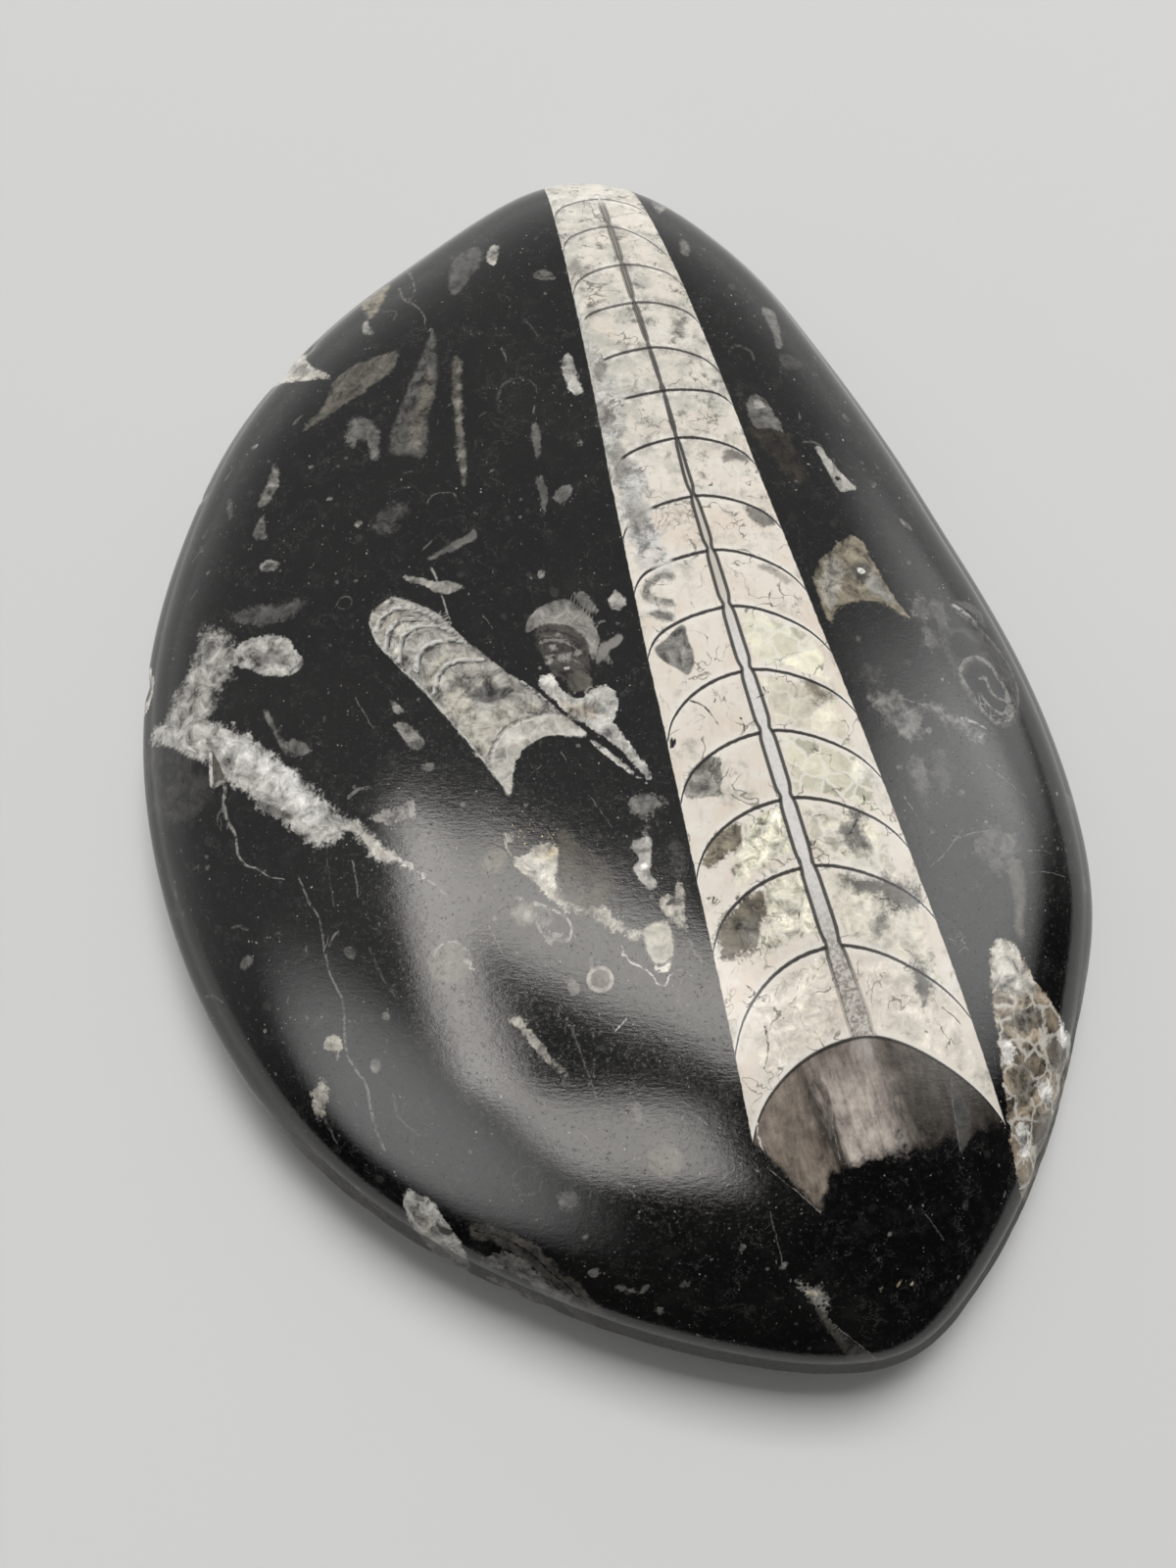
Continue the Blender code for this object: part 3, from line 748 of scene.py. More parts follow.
# %% Fragments in the far left
draw("""
shell soot soft=.3 ragged=.4 cloud=1: -17.8,38.1 -16.8,37.6 -16.7,33.4 -16.2,28 -15.7,21.6 -16.1,21.2
  -16.9,26.6 -17.5,32
spot fleck smoke opacity=.8 soft=.25 cloud=.5: -17.1,36.6,.3,.5,-8 -17,34.2,.3,.5,-8 -16.9,32,.3,.5,-8
  -16.7,29.6,.3,.5,-8 -16.4,27.2,.3,.5,-8 -16.2,25,.3,.5,-8 -16,22.8,.3,.5,-8
shell dim soft=.3 cloud=1: -20.6,42.8 -19.9,40.2 -19.7,34.8 -20.4,30 -20.3,25 -22.4,25.1 -24.6,25.7 -24.2,29.4
  -22.6,35.2 -21.4,39.6
fleck mud opacity=.35 soft=.5 ragged=.6 cloud=1: -20.5,37 -20.1,33 -20.8,29 -21,26 -22,26 -22.2,30 -21.4,34
shell soot soft=.25 ragged=.4: -24.6,40.2 -25,37.4 -26.8,35.8 -29,34 -31,32.5 -33,31 -35,30 -34,31.5
  -32.7,33.5 -32.3,36 -31,38 -28.5,39.3
shell grey soft=.3 ragged=.5: -29.6,30.2 -28.4,30.7 -26.8,30 -26,28.6 -25.6,25.8 -26.4,24.8 -27,26.8 -28,27.9
  -28.8,26.8 -29.6,27.4
shell grey opacity=.85 cloud=.6: -8.6,28.5 -7.6,28.5 -7.5,25 -8,24 -8.3,26 / -8,21.5 -7,21.5 -6.6,18.5 -7,17
  -7.5,19.8
shell grey: -5.8,19 -4.8,18.3 -3.8,20.5 -5.5,20.3 / -39.8,16.5 -38.8,18.8 -38.2,16.3 -38,15.5
shell pale: -5.2,37 -4.5,38.3 -3.8,37 -3.4,35 -2.8,33 -3.8,32.5 -4.8,34.5
shell grey ragged=.25: -8.8,50.5 -7.5,51.3 -6,49.6 -7.5,49.5 -8.5,50
shell ash ragged=.25: -14,56.5 -13,56 -13.6,52.5 -14.6,54.5
shell dim soft=.3: -18.8,55 -16,57 -15.2,54 -17,50 -18.2,48.5 -19,50.5
shell smoke soft=.2: -29,46.5 -28.3,44.5 -27.7,44 -28.5,43.6 -29.5,45
bed mud soft=.3 ragged=.5: -30.4,53 -29,54.6 -27.5,54.5 -27,52 -27.5,49 -28.6,46.8 -29.5,48.5 -30.2,50.6
vein pale wide=.5 opacity=.7: -30.5,53.6 -29.4,55 -28.4,55.8
shell horn ragged=.4: -42,41 -40.4,44 -38.9,44 -38.2,45 -37,44 -36.5,42 -35.5,40.5 -33.8,38.8 -32,37.2
  -34,37.7 -37,38.2 -39,39.1
fleck dim opacity=.6 soft=.3 ragged=.5: -38.6,40.3 -37.4,42.6 -36.7,41.2 -35.4,39.4 -37.2,39.2
shell smoke opacity=.8 soft=.2 ragged=.4: -38,25.8 -37.4,23.5 -38.2,20.5 -39.6,20.2 -39,22.5 -38.5,24.5
spot fleck pale: -38.2,23,.35,.35,0
spot shell smoke: -37.4,12.2,1.1,.75,0
spot fleck dim: -37.4,12.2,.6,.38,0
spot shell smoke ragged=.25: -27.4,16.5,.5,.4,30 -41.3,29,.45,.36,30 -48.3,24.9,.4,.32,30 -23.8,17,.28,.224,30
  -22.6,17.8,.3,.24,30 -24,14.7,.25,.2,30 -25.4,16.6,.25,.2,30 -3,26,.35,.28,30 -7.2,9.8,.5,.4,30
  -20.7,43,.4,.32,30 -12.8,22.6,.25,.2,30 -31,20,.3,.24,30 -45,12.6,.3,.24,30 -10.8,14.4,.22,.176,30
  -33.5,24.6,.3,.24,30 -14.5,17.2,.3,.24,30
shell dim opacity=.7 soft=.5 ragged=.9 cloud=1: -26,16 -25,17.8 -23,18.8 -22.2,18 -23.4,16 -24.6,15
shell dim soft=.2: -43.8,22 -43.2,21.8 -42.8,19.4 -43.4,19.4
bed dim opacity=.9 soft=.3 ragged=.8 cloud=1: -41,6 -39,5.2 -36,5.2 -33.5,6.4 -32.5,7.4 -36,7.3 -40.5,6.9
shell ash: -22,9.8 -20,9.5 -18.5,9 -17,9.1 -15.3,8.4 -17,7.7 -18.5,7.9 -20,8.7 -21.6,9.2
shell grey cloud=.6: -19.6,11.8 -18,13 -15.5,14.5 -14.6,15.3 -14.2,14.3 -16,13.2 -18.5,12
vein pale wide=.3 taper=.15 opacity=.8: -19.1,10.8 -18,8 -17.2,5.5 -16.6,4.1
vein grey wide=.3 taper=.15 opacity=.8: -20.2,12.8 -19,14.2 / -20,18.5 -19.3,19.8 -18,20 -17,19.8 -16.2,18.2 /
  -44.8,25.2 -43.6,27
vein dim wide=.4 taper=.2 opacity=.8: -12.5,31.8 -12,34 -10.8,34.8 -9.5,35 -8.3,34 -7.8,32.5 / -9.7,43.5
  -8.8,42.4 -8,40.8
vein grey wide=.4 taper=.2 opacity=.8: -12.3,39.5 -11.8,38.4 -11.5,37 / -25,56 -24,53.5 -23.3,50.5 -23.6,48.8
  / -25.5,52 -24.5,49 -23.4,48 -22.5,47 -21.7,45.5 -21.5,43.8 / -36.6,31 -35.2,32.6
vein dim wide=.35 taper=.175 opacity=.8: -27,47.5 -25.2,47 -25.8,45
vein dim wide=.3 taper=.15 opacity=.8: -14.6,29.8 -13.4,30.6 / -22.9,22.6 -21.4,23.1
vein grey wide=.2 taper=.1 opacity=.8: -29.2,6.6 -28.8,7.6 -27.8,7.6 -27.6,6.6 -28.4,6.2 -29.2,6.6
vein grey wide=.25 taper=.125 opacity=.8: -46.6,17.5 -45.4,19.6 / -47.6,14.6 -46.2,16.6
vein dim wide=.25 taper=.125 opacity=.8: -47,9.4 -46,10.9
""")
print("far left:", made)

# %% White mass at the left rim
draw("""
bed milk soft=.4 ragged=.85 crystal=.15: -50.4,-5 -48,-4.7 -45,-4.9 -42.5,-5.6 -40,-6.6 -37.4,-8 -35.5,-9.6
  -32.5,-12 -29.5,-14.9 -27.2,-16.6 -25,-18 -23,-19.8 -20.5,-21.5 -18.5,-23 -20.3,-22 -21.8,-21.5 -23.2,-21.5
  -25.2,-19.3 -26.5,-18.4 -28,-19.3 -30,-19.6 -32,-18.3 -34,-16.6 -36,-15.4 -38,-13.6 -40.5,-12 -41.9,-12.4
  -42.2,-9.9 -44,-9.6 -45.5,-9 -47.5,-8 -50.4,-6.8
bed pale opacity=.85 soft=.8 ragged=1.2 cloud=1: -44.2,5.4 -42.8,5 -41,3.6 -40.6,1.6 -41.2,-.8 -42.4,-2.6
  -42.8,-4.8 -45.6,-7 -48.6,-7 -48.6,-4.6 -47.2,-2.2 -45.6,1 -45,3.6
shell white opacity=.85 soft=.6 ragged=.9 cloud=.6: -40,-7.6 -37.5,-8.6 -35,-10.4 -32,-12.6 -30,-15.4
  -29,-17.6 -30.4,-17.4 -32.6,-15 -35,-12.8 -38,-10.6 -40.2,-9.6
shell horn cloud=.6: -26.6,-17.2 -25,-18.2 -22.8,-20.2 -20.4,-21.9 -21.6,-21.3 -23.4,-20.9 -25.4,-18.9
bed pale ragged=.35 crystal=.4 cloud=1: -41.5,.8 -40.5,2.3 -39,3.4 -36.5,3.7 -34.5,3 -33.6,1.8 -32.5,.3
  -33.8,-1 -36,-1.1 -38,-.3 -40,.5
shell slate opacity=.7 soft=.4 ragged=.6: -38.8,1 -37,2.2 -35,1.6 -34.4,.4 -36,0 -37.6,.2
bed bone ragged=.4: -55,3.2 -52.6,3.2 -51.4,1 -51.6,-1.5 -52.8,-2.4 -55,-1
fleck faint soft=.2: -52.8,1.4 -51.8,1 -51.9,-.6 -52.6,-.8
shell soot soft=.1 ragged=.15: -42.2,-9 -40.4,-11.8 -41.8,-12.6
vein white wide=.4 opacity=.9: -42.3,-9 -42.1,-10.9 -41.9,-12.8
bed faint opacity=.8 soft=.9 ragged=1.2 cloud=1: -52,-7 -47,-7.5 -44,-10 -42,-12 -43,-15 -46,-16 -50,-14
shell grey soft=.25 ragged=.4: -36.5,-14.5 -34,-15.5 -32,-17 -35,-16.2
vein pale wide=.5 taper=.1 opacity=.8: -41.8,-12.8 -40.4,-12.5 -40.3,-15 -39.5,-17 -38.7,-18.3 -38.5,-19.8
  -37.5,-21.3 -36,-21.8 -34.8,-22.6 -33,-23
vein grey wide=.35 taper=.12 opacity=.7: -40.2,-14.6 -41,-16.2 -40.4,-17.6
vein smoke wide=.22 taper=.1 opacity=.7: -18.8,-22.9 -17.2,-24.2 -16,-25.2
""")
print("left mass:", made)

# %% Fragments at the left and near left
draw("""
shell grey ragged=.2: -36.6,-4.9 -36,-5.2 -34.2,-8.2 -33.2,-10 -33.8,-9.9 -35,-7.8
shell grey: -33.3,-8.3 -31.5,-9 -31,-9.8 -33,-10.2
shell smoke soft=.1 ragged=.2: -22.9,-4.5 -22.4,-4.5 -21.3,-5.7 -22.2,-5.9
shell smoke: -22.2,-7.2 -21,-7 -19.4,-8.5 -19,-9.5 -20,-10 -20.8,-9.3
spot shell grey: -18.5,-11.8,.7,.55,0
shell smoke ragged=.6 cloud=1: -24.5,-17 -23,-16 -21.5,-16 -20.2,-15.2 -20,-17 -21.5,-17.7
vein smoke wide=.35 opacity=.8: -26.8,-14.9 -25.8,-14 -24.3,-13.8
vein dim wide=.2 opacity=.8: -28.8,-19.5 -28.5,-22 -27.7,-26
vein smoke wide=.16 opacity=.8: -26,-21.2 -25.6,-23 -25.2,-25
vein smoke wide=.2 taper=.3 opacity=.75: -31.7,-22.5 -31,-24 -30.3,-25.5 -29.5,-26.5 -29,-27.7 -28.4,-30.8
  -27.9,-32.5 -27.2,-33.8 -26.4,-35.5 -26.2,-39 -25.7,-40.8 -24.6,-42.3 -23.8,-43.5 -23.3,-46.5 -22,-49.5
vein smoke wide=.3 taper=.12 opacity=.8: -27.2,-28.3 -27.8,-29.2 -28.2,-30
spot shell grey ragged=.25: -36.9,-31.1,.8,.6,30 -25.9,-30.5,.7,.45,120 -22.1,-36.7,.4,.4,0
  -23,-41.3,.55,.75,10 -45,-25.5,.35,.25,0 -30.2,-36.6,.3,.22,40 -33.5,-28.4,.25,.2,0 -42,-21.2,.3,.22,60
vein grey wide=.3 opacity=.8: -38.8,-27.5 -37.8,-27.5 -36.9,-27.9
vein grey wide=.35 opacity=.8: -46.4,-22.5 -46,-24
vein grey wide=.25 opacity=.8: -42.5,-34.2 -41.6,-34.1 -40.8,-34.3 -39.8,-35
shell straw soft=.1: -28.6,-39.3 -27.6,-38.4 -26.6,-38.8 -26.5,-39.8 -26.9,-40.8 -27.2,-40 -28.5,-39.7
shell fawn soft=.2 ragged=.8 cloud=1: -29,-42.5 -28.2,-42.7 -27.8,-44 -28.3,-45.5 -28.6,-46.5 -29.2,-46
  -29.5,-44.5
vein grey wide=.35 taper=.15 opacity=.7: -28.4,-46.4 -27.6,-47.8 -27,-49
spot bed soot soft=.2 ragged=.2 cloud=.5: -15.8,-31.6,2.1,1.9,0
vein smoke wide=.28 opacity=.85: -17.6,-31.2 -16.8,-30 -15.4,-29.6 -14.2,-30.2
fleck smoke: -14.3,-30.2 -13.8,-31.5 -13.2,-32.4 -13.9,-32 -14.6,-31
vein dim wide=.3 taper=.15 opacity=.8: -24,-30 -22.5,-33 -21,-35
vein dim wide=.35 taper=.15 opacity=.8: -21.2,-44 -20.8,-46 -19.6,-47.2 -18.5,-48
shell umber opacity=.85 soft=.2 ragged=.8 cloud=1: -31.6,-48.8 -30.2,-49.4 -28.8,-51.2 -29.6,-51.8 -31,-50.6 /
  -28.4,-51.6 -26.6,-52.6 -25.2,-54.6 -26,-55.4 -27.8,-53.6 / -25.4,-53.2 -23.6,-54.4 -22.6,-56.6 -23.8,-57.4
  -25,-55.6 / -23,-56 -21.4,-57.4 -19.6,-60 -21,-60.2 -22.6,-58.6
bed milk ragged=.35 crystal=.6 cloud=1: -20,-53.3 -18.5,-53.6 -17.2,-54.4 -16,-56 -14.8,-58 -13.9,-59.7
  -14.6,-62 -16.4,-61.6 -18,-59 -19.3,-57.2 -20.2,-55
shell straw opacity=.8 soft=.4 ragged=.6 cloud=1: -18.6,-56.2 -17.2,-56.6 -16,-59.2 -17.2,-60 -18.4,-58.2
""")
print("near left:", made)

# %% Fragments in the middle
draw("""
bed straw ragged=.45: -9.8,-21.2 -8.4,-21 -7,-20 -6.2,-19.8 -5.2,-20.6 -5,-21.6 -5.4,-22.8 -5.4,-24.2
  -4.8,-25.4 -3.8,-26.6 -4.4,-26.8 -5.4,-25.8 -6.8,-24.4 -8.4,-23 -9.4,-22.2
shell bone opacity=.8 soft=.3 ragged=.6 cloud=1: -8.6,-21.6 -6.8,-21.4 -6,-22.8 -5.6,-24.4 -6.6,-23.7 -8,-22.6
shell amber opacity=.8 soft=.4 ragged=.5 cloud=.6: -7,-20.4 -6,-20.1 -5.5,-21.2 -6.2,-21.8 -7,-21.2
vein straw wide=.4 taper=.2 opacity=.8: -10.6,-18.6 -10.4,-20 -9.8,-21.2
spot bed umber opacity=.7 soft=.4 ragged=.6: -11.6,-21.6,1.3,1.2,0
spot bed mud opacity=.8 soft=.4 ragged=.6: -8.4,-26.8,1.2,1,0
vein pale wide=.45 taper=.2 opacity=.8: -7.6,-25.8 -6.4,-26.2 -5,-26.8 -3.8,-28 -4,-29.6
vein smoke wide=.35 opacity=.8: -4,-29.6 -6,-29.2 -7,-28.2 -7.2,-27
spot fleck gold soft=.25 ragged=.4: -5.9,-20.7,.5,.35,0
shell smoke soft=.1 ragged=.25: -10.6,-18.6 -9.7,-18.8 -9.8,-19.8 -10.5,-19.4
bed peat soft=.35 ragged=.5 cloud=1: -5,-18 -3,-20 -.5,-22 .5,-24 -.5,-26 -2,-26.5 -4.3,-25.6 -5,-23
bed straw soft=.2 ragged=.5: -4.4,-26.3 -2.4,-26.3 0,-26.7 1.6,-28.3 3.4,-28.9 3.5,-29.6 1.5,-29.1 -.4,-28.2
  -2,-27.2
bed straw soft=.2 ragged=.25 cloud=.5: 3.3,-28.6 4.2,-27.9 5.4,-27.8 6.1,-28.6 6.2,-30.2 5.9,-31.4 5.2,-31.9
  4.2,-31.6 3.6,-30.4
shell bone soft=.08 ragged=.2 cloud=.6: 4,-31.4 4.4,-31.9 4.7,-31.6 5,-32.4 5.4,-31.7 6,-31.3 5.7,-32.4
  5,-32.9 4.3,-32.3
fleck ink ragged=.1: 4.4,-32.9 5.1,-32.6 5.9,-32.9 5.6,-33.6 5,-33.9 4.6,-33.5
vein chalk wide=.16 opacity=.9: 4.3,-33 4.5,-33.6 5.1,-34 5.6,-33.6 5.8,-33
vein chalk wide=.18 opacity=.9: 1,-30.8 2,-31.6 3.3,-32.3 4.3,-33
vein pale wide=.16 opacity=.8: 1.1,-30 1.7,-31.2
vein grey wide=.14 opacity=.8: 5.9,-33 6.6,-32.4 7.2,-32.5
vein smoke wide=.4 opacity=.8: -6.3,-29.6 -5.6,-28.8 -5,-29.2 -6,-30
shell grey opacity=.8 soft=.25 ragged=.6 cloud=1: -6.8,-26.5 -6,-26.2 -5.6,-27.6 -6.6,-28.4 -7,-27.6
shell smoke ragged=.2: -9,-26.3 -7.2,-26.7 -7.3,-27.5 -8.5,-27.5 / -9.7,-25.4 -9,-25.1 -8.4,-25.8
shell faint soft=.3 ragged=.5: -14.6,-24.4 -13.2,-24.2 -12.4,-25.4 -13.6,-26
bed pale: 2,-20 3,-19.3 4.1,-19.4 4.2,-21.5 4.1,-22.8 4.8,-24.2 3.8,-24.3 2.7,-23.2 2.4,-22.2 3,-21.4
  2.4,-20.6
spot fleck white ragged=.2: 3.4,-22.2,.4,.3,0
bed slate opacity=.85 soft=.3 ragged=.9 cloud=1: 2,-15.2 3.4,-14.6 5,-15.4 6,-16.4 4.2,-16.4 3.9,-18.2
  3.2,-18.4 3.3,-16.8 2,-16.6
bed fawn soft=.2 ragged=.5 cloud=1: 4.8,-25.4 6.2,-25 7,-23.4 7.3,-25.6 7.7,-28.2 6.6,-28 5.4,-27 4.9,-26.2 /
  -10,-37 -8.5,-37 -7,-39 -5.5,-41 -4,-42.5 -6.5,-40.6 -8.5,-38.5
shell ink soft=.1 ragged=.1: 5.4,-26 6.2,-25.4 6.5,-25.6 5.7,-26.2
bed faint opacity=.8 soft=.35 ragged=.8 cloud=1: 6.3,-19.4 7,-20.4 7.3,-22.6 6.6,-23 6.2,-21.4
vein ink wide=.3 opacity=.7: 4.2,-25 5,-26.6 6,-28 7,-30 7.8,-31.2
vein grey wide=.3 taper=.15 opacity=.7: 7.2,-27.6 8,-29.6 9.2,-31.8 / .3,-52 1.4,-52.6 2.4,-53.5
vein smoke wide=.22 taper=.1 opacity=.7: 7.4,-29.4 8.4,-30.9 9.3,-32.2
spot shell fawn soft=.08 ragged=.08 cloud=.5: -.95,-33.3,1.38,1.3,0
spot fleck umber soft=.08 ragged=.08 cloud=.6: -.95,-33.25,1,.92,0
spot fleck smoke: -.9,-33.3,.62,.5,0
shell dim ragged=.2: -2,-31.2 -1.5,-30.9 -1.4,-32 -2,-32
shell grey ragged=.2: -4,-33.4 -3.4,-33.2 -2.9,-34.4 -3.6,-34.8 -4,-34.2
shell ash soft=.2 ragged=.5 cloud=1: -8.6,-37.4 -7.4,-38.6 -6.4,-40 -7.6,-39.4 -8.8,-38
vein grey wide=.3 taper=.12 opacity=.75: -3.8,-37.7 -2.7,-40.7 -1.2,-44.8
vein chalk wide=.14 opacity=.9: .3,-38.3 .9,-37.8 1.7,-37
spot bed soot soft=.25 ragged=.2 cloud=.4: 5.2,-50.2,1.7,1.5,0
shell dim soft=.2 ragged=.4: 2,-45 3,-45.3 3,-47 2.3,-46.5
shell dim soft=.3 ragged=.8 cloud=1: -5,-53.4 -3.6,-53 -2.8,-54 -4.2,-54.8
vein dim wide=.2 opacity=.6: -9.4,-51.6 -8.2,-50.7 -6.8,-51.4 -6.7,-52.8 -8,-53.5 -9.2,-52.8 -9.4,-51.6
vein smoke wide=.2 taper=.1 opacity=.7: -7.2,-17.6 -6.2,-18.6 -5.6,-19.8
""")
print("middle:", made)

# %% Fragments at the near rim
draw("""
vein ink wide=.22 opacity=.95: -13.3,-56.8 -10.7,-57.3 -8,-58.7 -5.7,-60.7 -3.7,-62.3 -2,-64.3 0,-66.3 2,-67.5
bed dusk soft=.2 ragged=.45 cloud=1: -13.6,-56.2 -10.6,-56.5 -7.6,-57.9 -5.2,-59.9 -3.1,-61.6 -1.3,-63.7
  .8,-65.8 2.4,-67.2 1.6,-68.2 -.5,-66.9 -2.6,-64.9 -4.3,-62.9 -6.2,-61.4 -8.4,-59.5 -10.8,-58.1 -13.3,-57.5
shell grey ragged=.5 cloud=1: -12.5,-59.7 -10.5,-58.8 -8.5,-59.5 -7,-60.8 -5.5,-62.1 -3.8,-62.9 -2.8,-64.2
  -1.5,-66.2 -.5,-67 -1.5,-67.2 -3.2,-65.6 -4.8,-63.9 -7,-62.8 -8.6,-61.2 -10.6,-60.4 -12.4,-60.6
shell fawn ragged=.7 cloud=1: -12.2,-61.6 -10.6,-62 -9.2,-63.2 -9.8,-64 -11.4,-63 / -8.6,-62.8 -7.2,-63.4
  -6.6,-64.6 -8,-64.6
spot shell grey ragged=.35: .9,-62,.45,.28,20 2,-62.2,.45,.28,20 3.2,-61.9,.45,.28,20 7,-61.5,.45,.28,20
  -1.6,-60.6,.45,.28,20 4.6,-64,.45,.28,20
shell dusk soft=.1 ragged=.2: 19.2,-63.4 19.7,-63.3 21,-65.1 23.4,-67 26,-69 25.2,-70 23.6,-69.6 21.6,-67
  20,-65
vein ink wide=.22 opacity=.9: 19.4,-63.8 20.8,-66 22.8,-68.4 24.6,-69.8
vein smoke wide=.14 opacity=.8: 19.7,-63.3 21.2,-65.1 23.6,-67 26,-69
shell smoke soft=.3 ragged=1.2 cloud=1: 18,-61.3 19.6,-61.9 21,-63.8 19.4,-63.4
spot fleck gold opacity=.6 soft=.1: 18.6,-62,.2,.16,35 19.3,-62.4,.2,.16,35 19.9,-63.1,.2,.16,35
  20.6,-62.4,.2,.16,35 21.4,-61.8,.2,.16,35 26.4,-61.2,.2,.16,35 27.2,-61.6,.2,.16,35 27.9,-61,.2,.16,35
  28.8,-61.5,.2,.16,35 25.6,-61.8,.2,.16,35
vein grey wide=.14 opacity=.8: 30,-55 31,-56.2 32.2,-57.8
spot shell grey: 38.7,-53.4,.3,.22,35 38.9,-54.8,.3,.22,35 40.7,-54.3,.3,.22,35 22.4,-58.4,.3,.22,35
  28.6,-54.6,.3,.22,35 12.4,-58.2,.3,.22,35 -2.4,-57.2,.3,.22,35 34.4,-58.6,.3,.22,35
""")
print("near rim:", made)

# %% Fragments at the right
draw("""
shell slate soft=.25 cloud=.6: 19,48 20.6,48 21,44 21,42 20.3,41.5 20,44 19.2,46.5
shell faint soft=.25: 20.5,40.5 21,38.5 22.3,38.6 23.3,40 22,40.8
vein dim wide=.4 opacity=.8: 14.3,39.3 15.3,40.7 17,40 17.3,38.7
shell slate soft=.25 ragged=.25 cloud=.5: 9.2,57.4 10,57.8 10.4,56.2 10,54.8 9.3,55.2
shell smoke soft=.2 ragged=.2: 6,66 7.8,66 7.2,63.5 6.5,63
spot shell grey: 30.7,23.3,.5,.3,60 28.3,32.8,.6,.4,120 34,18.4,1,.4,140 38,-5.7,.35,.3,0 28.2,-4.7,.3,.3,0
  31.5,-7.8,.35,.25,0 33.7,-7.3,.3,.25,0 30,-11.5,.35,.3,0 36.5,-14,.35,.25,0 33,-18.3,.35,.25,0
  33.6,13.2,.4,.3,20
vein smoke wide=.11 taper=.07 opacity=.75: 36,23.5 36.7,24.6 37.5,25.5 / 39.7,-10.7 42,-12.2 44.3,-14 /
  30.7,-3.8 32.5,-4.3 34.3,-5 / 36.8,-17.3 34,-20.7 32.4,-22 / 34.9,-19 37.4,-18.2 39.9,-17.7 / 41,-18
  42,-18.8 41.3,-20 / 43.3,-19.8 45,-19.5 46.7,-19.7 / 43.3,-22 45.3,-21.7 48.3,-22 / 44,10.7 46.3,7.3 48,5 /
  -2.2,-14.7 -1,-16.3 .3,-18.3 / -5,-10 -4.6,-10.8 -4.3,-11.5 / -8,-12.5 -7.4,-12.1 -6.8,-11.5 / 34.2,-27.8
  35.4,-29 36,-30.4 / 33.8,-29 35,-29.4 35.8,-28.4 / 34.6,-30.6 35.6,-29.8 / 23.4,.4 24,-.6 / -12,-28
  -10.5,-31 / -3,-47.5 -1.5,-48.6 / 8.2,-46 9.5,-47.2 / 30.2,-14.5 31.6,-16.8 / -26.6,-4 -24.4,-7.6 /
  -13.4,5.2 -12.2,3.4
vein ink wide=.2 opacity=.8: 37.8,-21.3 39.3,-21.3
shell smoke opacity=.6 soft=.6 ragged=1.2 cloud=1: 27.4,-4.2 29,-3.4 30.4,-3.2 31.4,-4.6 32.6,-6 32.2,-8.4
  30.6,-8.2 29.4,-6.6 / 33,-4.4 34.6,-4.4 36.4,-5.2 38.4,-6.3 39.8,-7.8 37.6,-7.4 35,-5.8
shell grey opacity=.6 soft=.6 ragged=1.2 cloud=1: 37.8,-18.2 40.4,-17.6 42.4,-19 41.6,-21.8 39.2,-22.2
  37.8,-20.4 / 31.2,-11 32.4,-10.6 33.2,-13.4 32.4,-15.4 31.6,-13.6 / 33.4,8.2 34.8,8.6 35.2,5.6 35.8,2.6
  34.6,2.8 34,5.4
shell dim opacity=.6 soft=.6 ragged=1.2 cloud=1: 26.6,-.8 28,-.4 29.2,-1.6 28.6,-2.8 27.2,-2.2 / 33.6,-9.6
  35,-9.4 35.8,-11.8 35,-14.4 34,-12.6
bed soot soft=.3 cloud=.5: 41,-20.5 42.5,-21 42.8,-24 42.3,-26.5 42,-29 41.3,-28 41.5,-25 41,-22.5
shell dim: 50.4,-12.2 51.4,-12.4 51.6,-13.6 50.8,-13.8 / 50.8,-21.6 51.6,-21.8 51.8,-22.9 51,-23
bed brown ragged=.5 crystal=1 cloud=1: 38.3,-30 38.3,-35.3 38.7,-40 39,-44 39.5,-48 40,-51 41,-53.5 42.3,-54.5
  45.6,-51 47.6,-47 49.2,-43 49.4,-41 48.3,-39.3 46.7,-37.7 45.3,-35.3 43.7,-33.7 42.3,-31.3 41.2,-29.7 40,-29
shell horn soft=.4 ragged=.6: 38.6,-30 40,-29.3 41.2,-30 42,-31.6 43,-33.6 41.8,-34.6 39.8,-34.4 38.6,-34
shell soot opacity=.75 soft=.3 ragged=.8 cloud=1: 40.2,-36.4 42.6,-35.4 44.4,-37 42.4,-38.2 40.6,-38 /
  44.6,-38.6 46.4,-39 47.6,-41.6 45.8,-42.2 44.4,-40.6 / 40,-41.6 41.8,-41 42.8,-43.4 41.2,-45 40,-44 /
  42.6,-46.6 44.8,-45.6 45.8,-48 43.8,-50 42.4,-48.8
fleck white opacity=.85 ragged=.7 cloud=1: 38.9,-38.6 40.4,-39.4 39.9,-41.2 39,-40.6 / 43.4,-42.6 45,-43.4
  44.4,-45 43,-44.4 / 40.4,-47 41.9,-47.4 41.6,-50.2 40.6,-49.8 / 46.3,-36.9 47.9,-38.9 48.7,-40.4 47.2,-40.2
  46,-38.4
""")
print("right:", made)

# %% [markdown]
# ## The solid skin
#
# The corners and faces now become one closed mesh, and every value worked out above is stored on its
# corners as a named attribute. Two more are added: how well each place is polished (the ground flat and the
# underside aren't), and where the rim is chipped.

